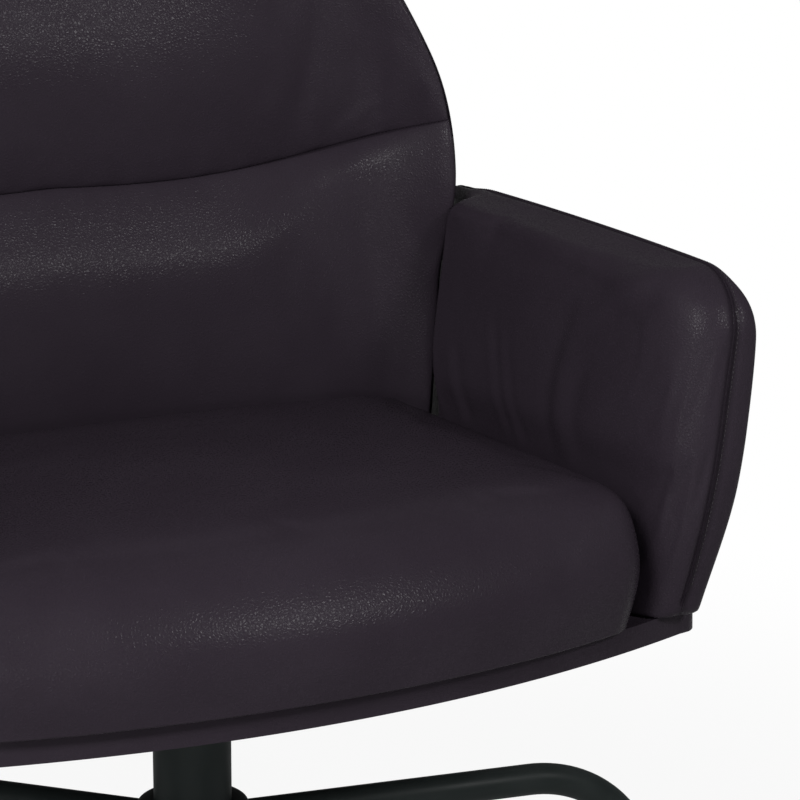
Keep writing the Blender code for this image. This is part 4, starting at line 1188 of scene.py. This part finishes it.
BOARD_HALF = 0.343
BOARD_FRONT = -0.240
BOARD_REAR = 0.342
BOARD_EDGE = 0.0062
corner_r = 0.022
rear_r = 0.118
side_x = BOARD_HALF - corner_r
half = [(x, BOARD_FRONT + x * x / (2 * FRONT_BOW)) for x in np.linspace(0.0, side_x, 60)]
corner_y = half[-1][1] + corner_r
half += [(side_x + corner_r * sin(a), corner_y - corner_r * cos(a))
         for a in np.linspace(0.12, 0.5, 14)[1:] * pi]
half += [(BOARD_HALF - rear_r + rear_r * cos(a), BOARD_REAR - rear_r + rear_r * sin(a))
         for a in np.linspace(0.0, 0.5, 30) * pi]
count = len(half)
points = [(side * x, y, z) for z in (0.0, BOARD_T) for side in (1, -1) for x, y in half]
faces = []
for i in range(count - 1):
    for start in (0, 2 * count):
        faces.append((start + i, start + i + 1, start + count + i + 1, start + count + i))
    for start in (0, count):
        faces.append((start + i, start + i + 1, start + 2 * count + i + 1, start + 2 * count + i))
faces.append((count - 1, 2 * count - 1, 4 * count - 1, 3 * count - 1))
board = shown("covered_board", smooth_mesh("covered_board", leaned(points), faces))
rounded(board, BOARD_EDGE, 5, 50)
dress(board, "seat", board_leather, "covered_board", "seat_board")
print("board outline points:", 2 * count)

# %% [markdown]
# ## The pedestal
# Five bent tubes are welded to a short hub round the column. A lathe piece is a profile that goes round an
# axis, and a leg is a circle that goes along a bent line. Both get many sides here, because a bright line
# along a dark tube shows every flat.


# %% Tubes and turned pieces
def lathe(name, profile, at, steps=72, crisp=0.0006):
    """A turned piece from a closed profile of (radius, height), with its sharp edges broken."""
    points = []
    faces = []
    rows = len(profile)
    for k in range(steps):
        a = 2 * pi * k / steps
        points += [(at[0] + r * cos(a), at[1] + r * sin(a), at[2] + z) for r, z in profile]
    for k in range(steps):
        faces += between_rings((k + 1) % steps * rows, k * rows, rows)
    made = shown(name, smooth_mesh(name, points, faces))
    rounded(made, crisp, 3, 25)
    return made


LEG_COUNT = 5
LEG_TURN = radians(-8.2)
TUBE_R = 0.0125
TUBE_WALL = 0.002
LEG_HEIGHT = 0.140
LEG_REACH = 0.380
LEG_BEND = 0.102
LEG_END = 0.009
GLIDE_R = 0.0138
HUB_R = 0.044
HUB_BOTTOM = 0.118
HUB_TOP = 0.158
COLUMN_R = 0.030
COLUMN_WALL = 0.0025
COLUMN_BOTTOM = 0.112
COLUMN_TOP = 0.232


def leg_tube(name, turn):
    start = HUB_R - 0.0015
    path = [(r, LEG_HEIGHT, 0.0) for r in np.linspace(start, LEG_REACH - LEG_BEND, 6)]
    for a in np.linspace(0.0, 0.5 * pi, 30)[1:]:
        path.append((LEG_REACH - LEG_BEND + LEG_BEND * sin(a), LEG_HEIGHT - LEG_BEND + LEG_BEND * cos(a), a))
    path.append((LEG_REACH, LEG_END, 0.5 * pi))
    sides = 48
    skins = []
    for radius in (TUBE_R, TUBE_R - TUBE_WALL):
        for r, z, a in path:
            for k in range(sides):
                p = 2 * pi * k / sides
                up = radius * sin(p)
                across = radius * cos(p)
                out = r + up * sin(a)
                x = out * cos(turn) - across * sin(turn)
                y = COLUMN_Y + out * sin(turn) + across * cos(turn)
                skins.append((x, y, z + up * cos(a)))
    count = len(path) * sides
    last = count - sides
    faces = between_rings(count, 0, sides) + between_rings(last, count + last, sides)
    for ring in range(0, last, sides):
        faces += between_rings(ring, ring + sides, sides)
        faces += between_rings(count + ring + sides, count + ring, sides)
    return shown(name, smooth_mesh(name, skins, faces))


for k in range(LEG_COUNT):
    turn = LEG_TURN + 2 * pi * k / LEG_COUNT
    leg = leg_tube(f"leg_tube_{k + 1}", turn)
    dress(leg, "base", coat_look, "powder_coat", f"leg_{k + 1}")
print("legs:", LEG_COUNT)

# %% Hub, column and glides
bore = COLUMN_R + GAP
hub = [(bore, HUB_BOTTOM), (HUB_R - 0.002, HUB_BOTTOM), (HUB_R, HUB_BOTTOM + 0.002), (HUB_R, HUB_TOP - 0.005)]
hub += [(HUB_R - 0.0015, HUB_TOP - 0.0015), (HUB_R - 0.005, HUB_TOP), (bore, HUB_TOP)]
dress(lathe("welded_hub", hub, (0.0, COLUMN_Y, 0.0)), "base", coat_look, "powder_coat", "hub")
inner = COLUMN_R - COLUMN_WALL
column = [(inner, COLUMN_BOTTOM), (COLUMN_R, COLUMN_BOTTOM), (COLUMN_R, COLUMN_TOP), (inner, COLUMN_TOP)]
dress(lathe("column_tube", column, (0.0, COLUMN_Y, 0.0)), "base", coat_look, "powder_coat", "column")
plug = TUBE_R - TUBE_WALL - GAP
glide = [(0.0005, 0.0), (GLIDE_R - 0.002, 0.0), (GLIDE_R, 0.002), (GLIDE_R, LEG_END - GAP)]
glide += [(plug, LEG_END - GAP), (plug, 0.026), (plug - 0.0015, 0.028), (0.0005, 0.028)]
for k in range(LEG_COUNT):
    turn = LEG_TURN + 2 * pi * k / LEG_COUNT
    foot = (LEG_REACH * cos(turn), COLUMN_Y + LEG_REACH * sin(turn), 0.0)
    made = lathe(f"floor_glide_{k + 1}", glide, foot, 48)
    dress(made, "base", plastic_look, "black_plastic", f"glide_{k + 1}")
print("hub, column and glides made")

# %% [markdown]
# ## The works under the seat
# The swivel and the recline are solids whose shapes are right already. They keep their meshes and get the
# finishes.

# %% Finishes of the works
NODE_LOOKS = {
    "zinc": (zinc_look, ("thrust_washer", "spindle", "retaining_ring", "tilt_pin", "tilt_nut", "plate_screw",
                         "arm_bolt", "back_bolt")),
    "nylon": (nylon_look, ("upper_bush", "lower_bush")),
    "plastic": (plastic_look, ("hub_cap",)),
    "rubber": (rubber_look, ("front_stop", "rear_stop", "torsion_bush")),
    "coat": (coat_look, ("yoke", "seat_plate", "pivot_tube")),
}
for finish, (look, starts) in NODE_LOOKS.items():
    dressed = [node for name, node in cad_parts.items() if name.startswith(starts)]
    for node in dressed:
        node.data.materials.clear()
        node.data.materials.append(look)
    print(finish, len(dressed))
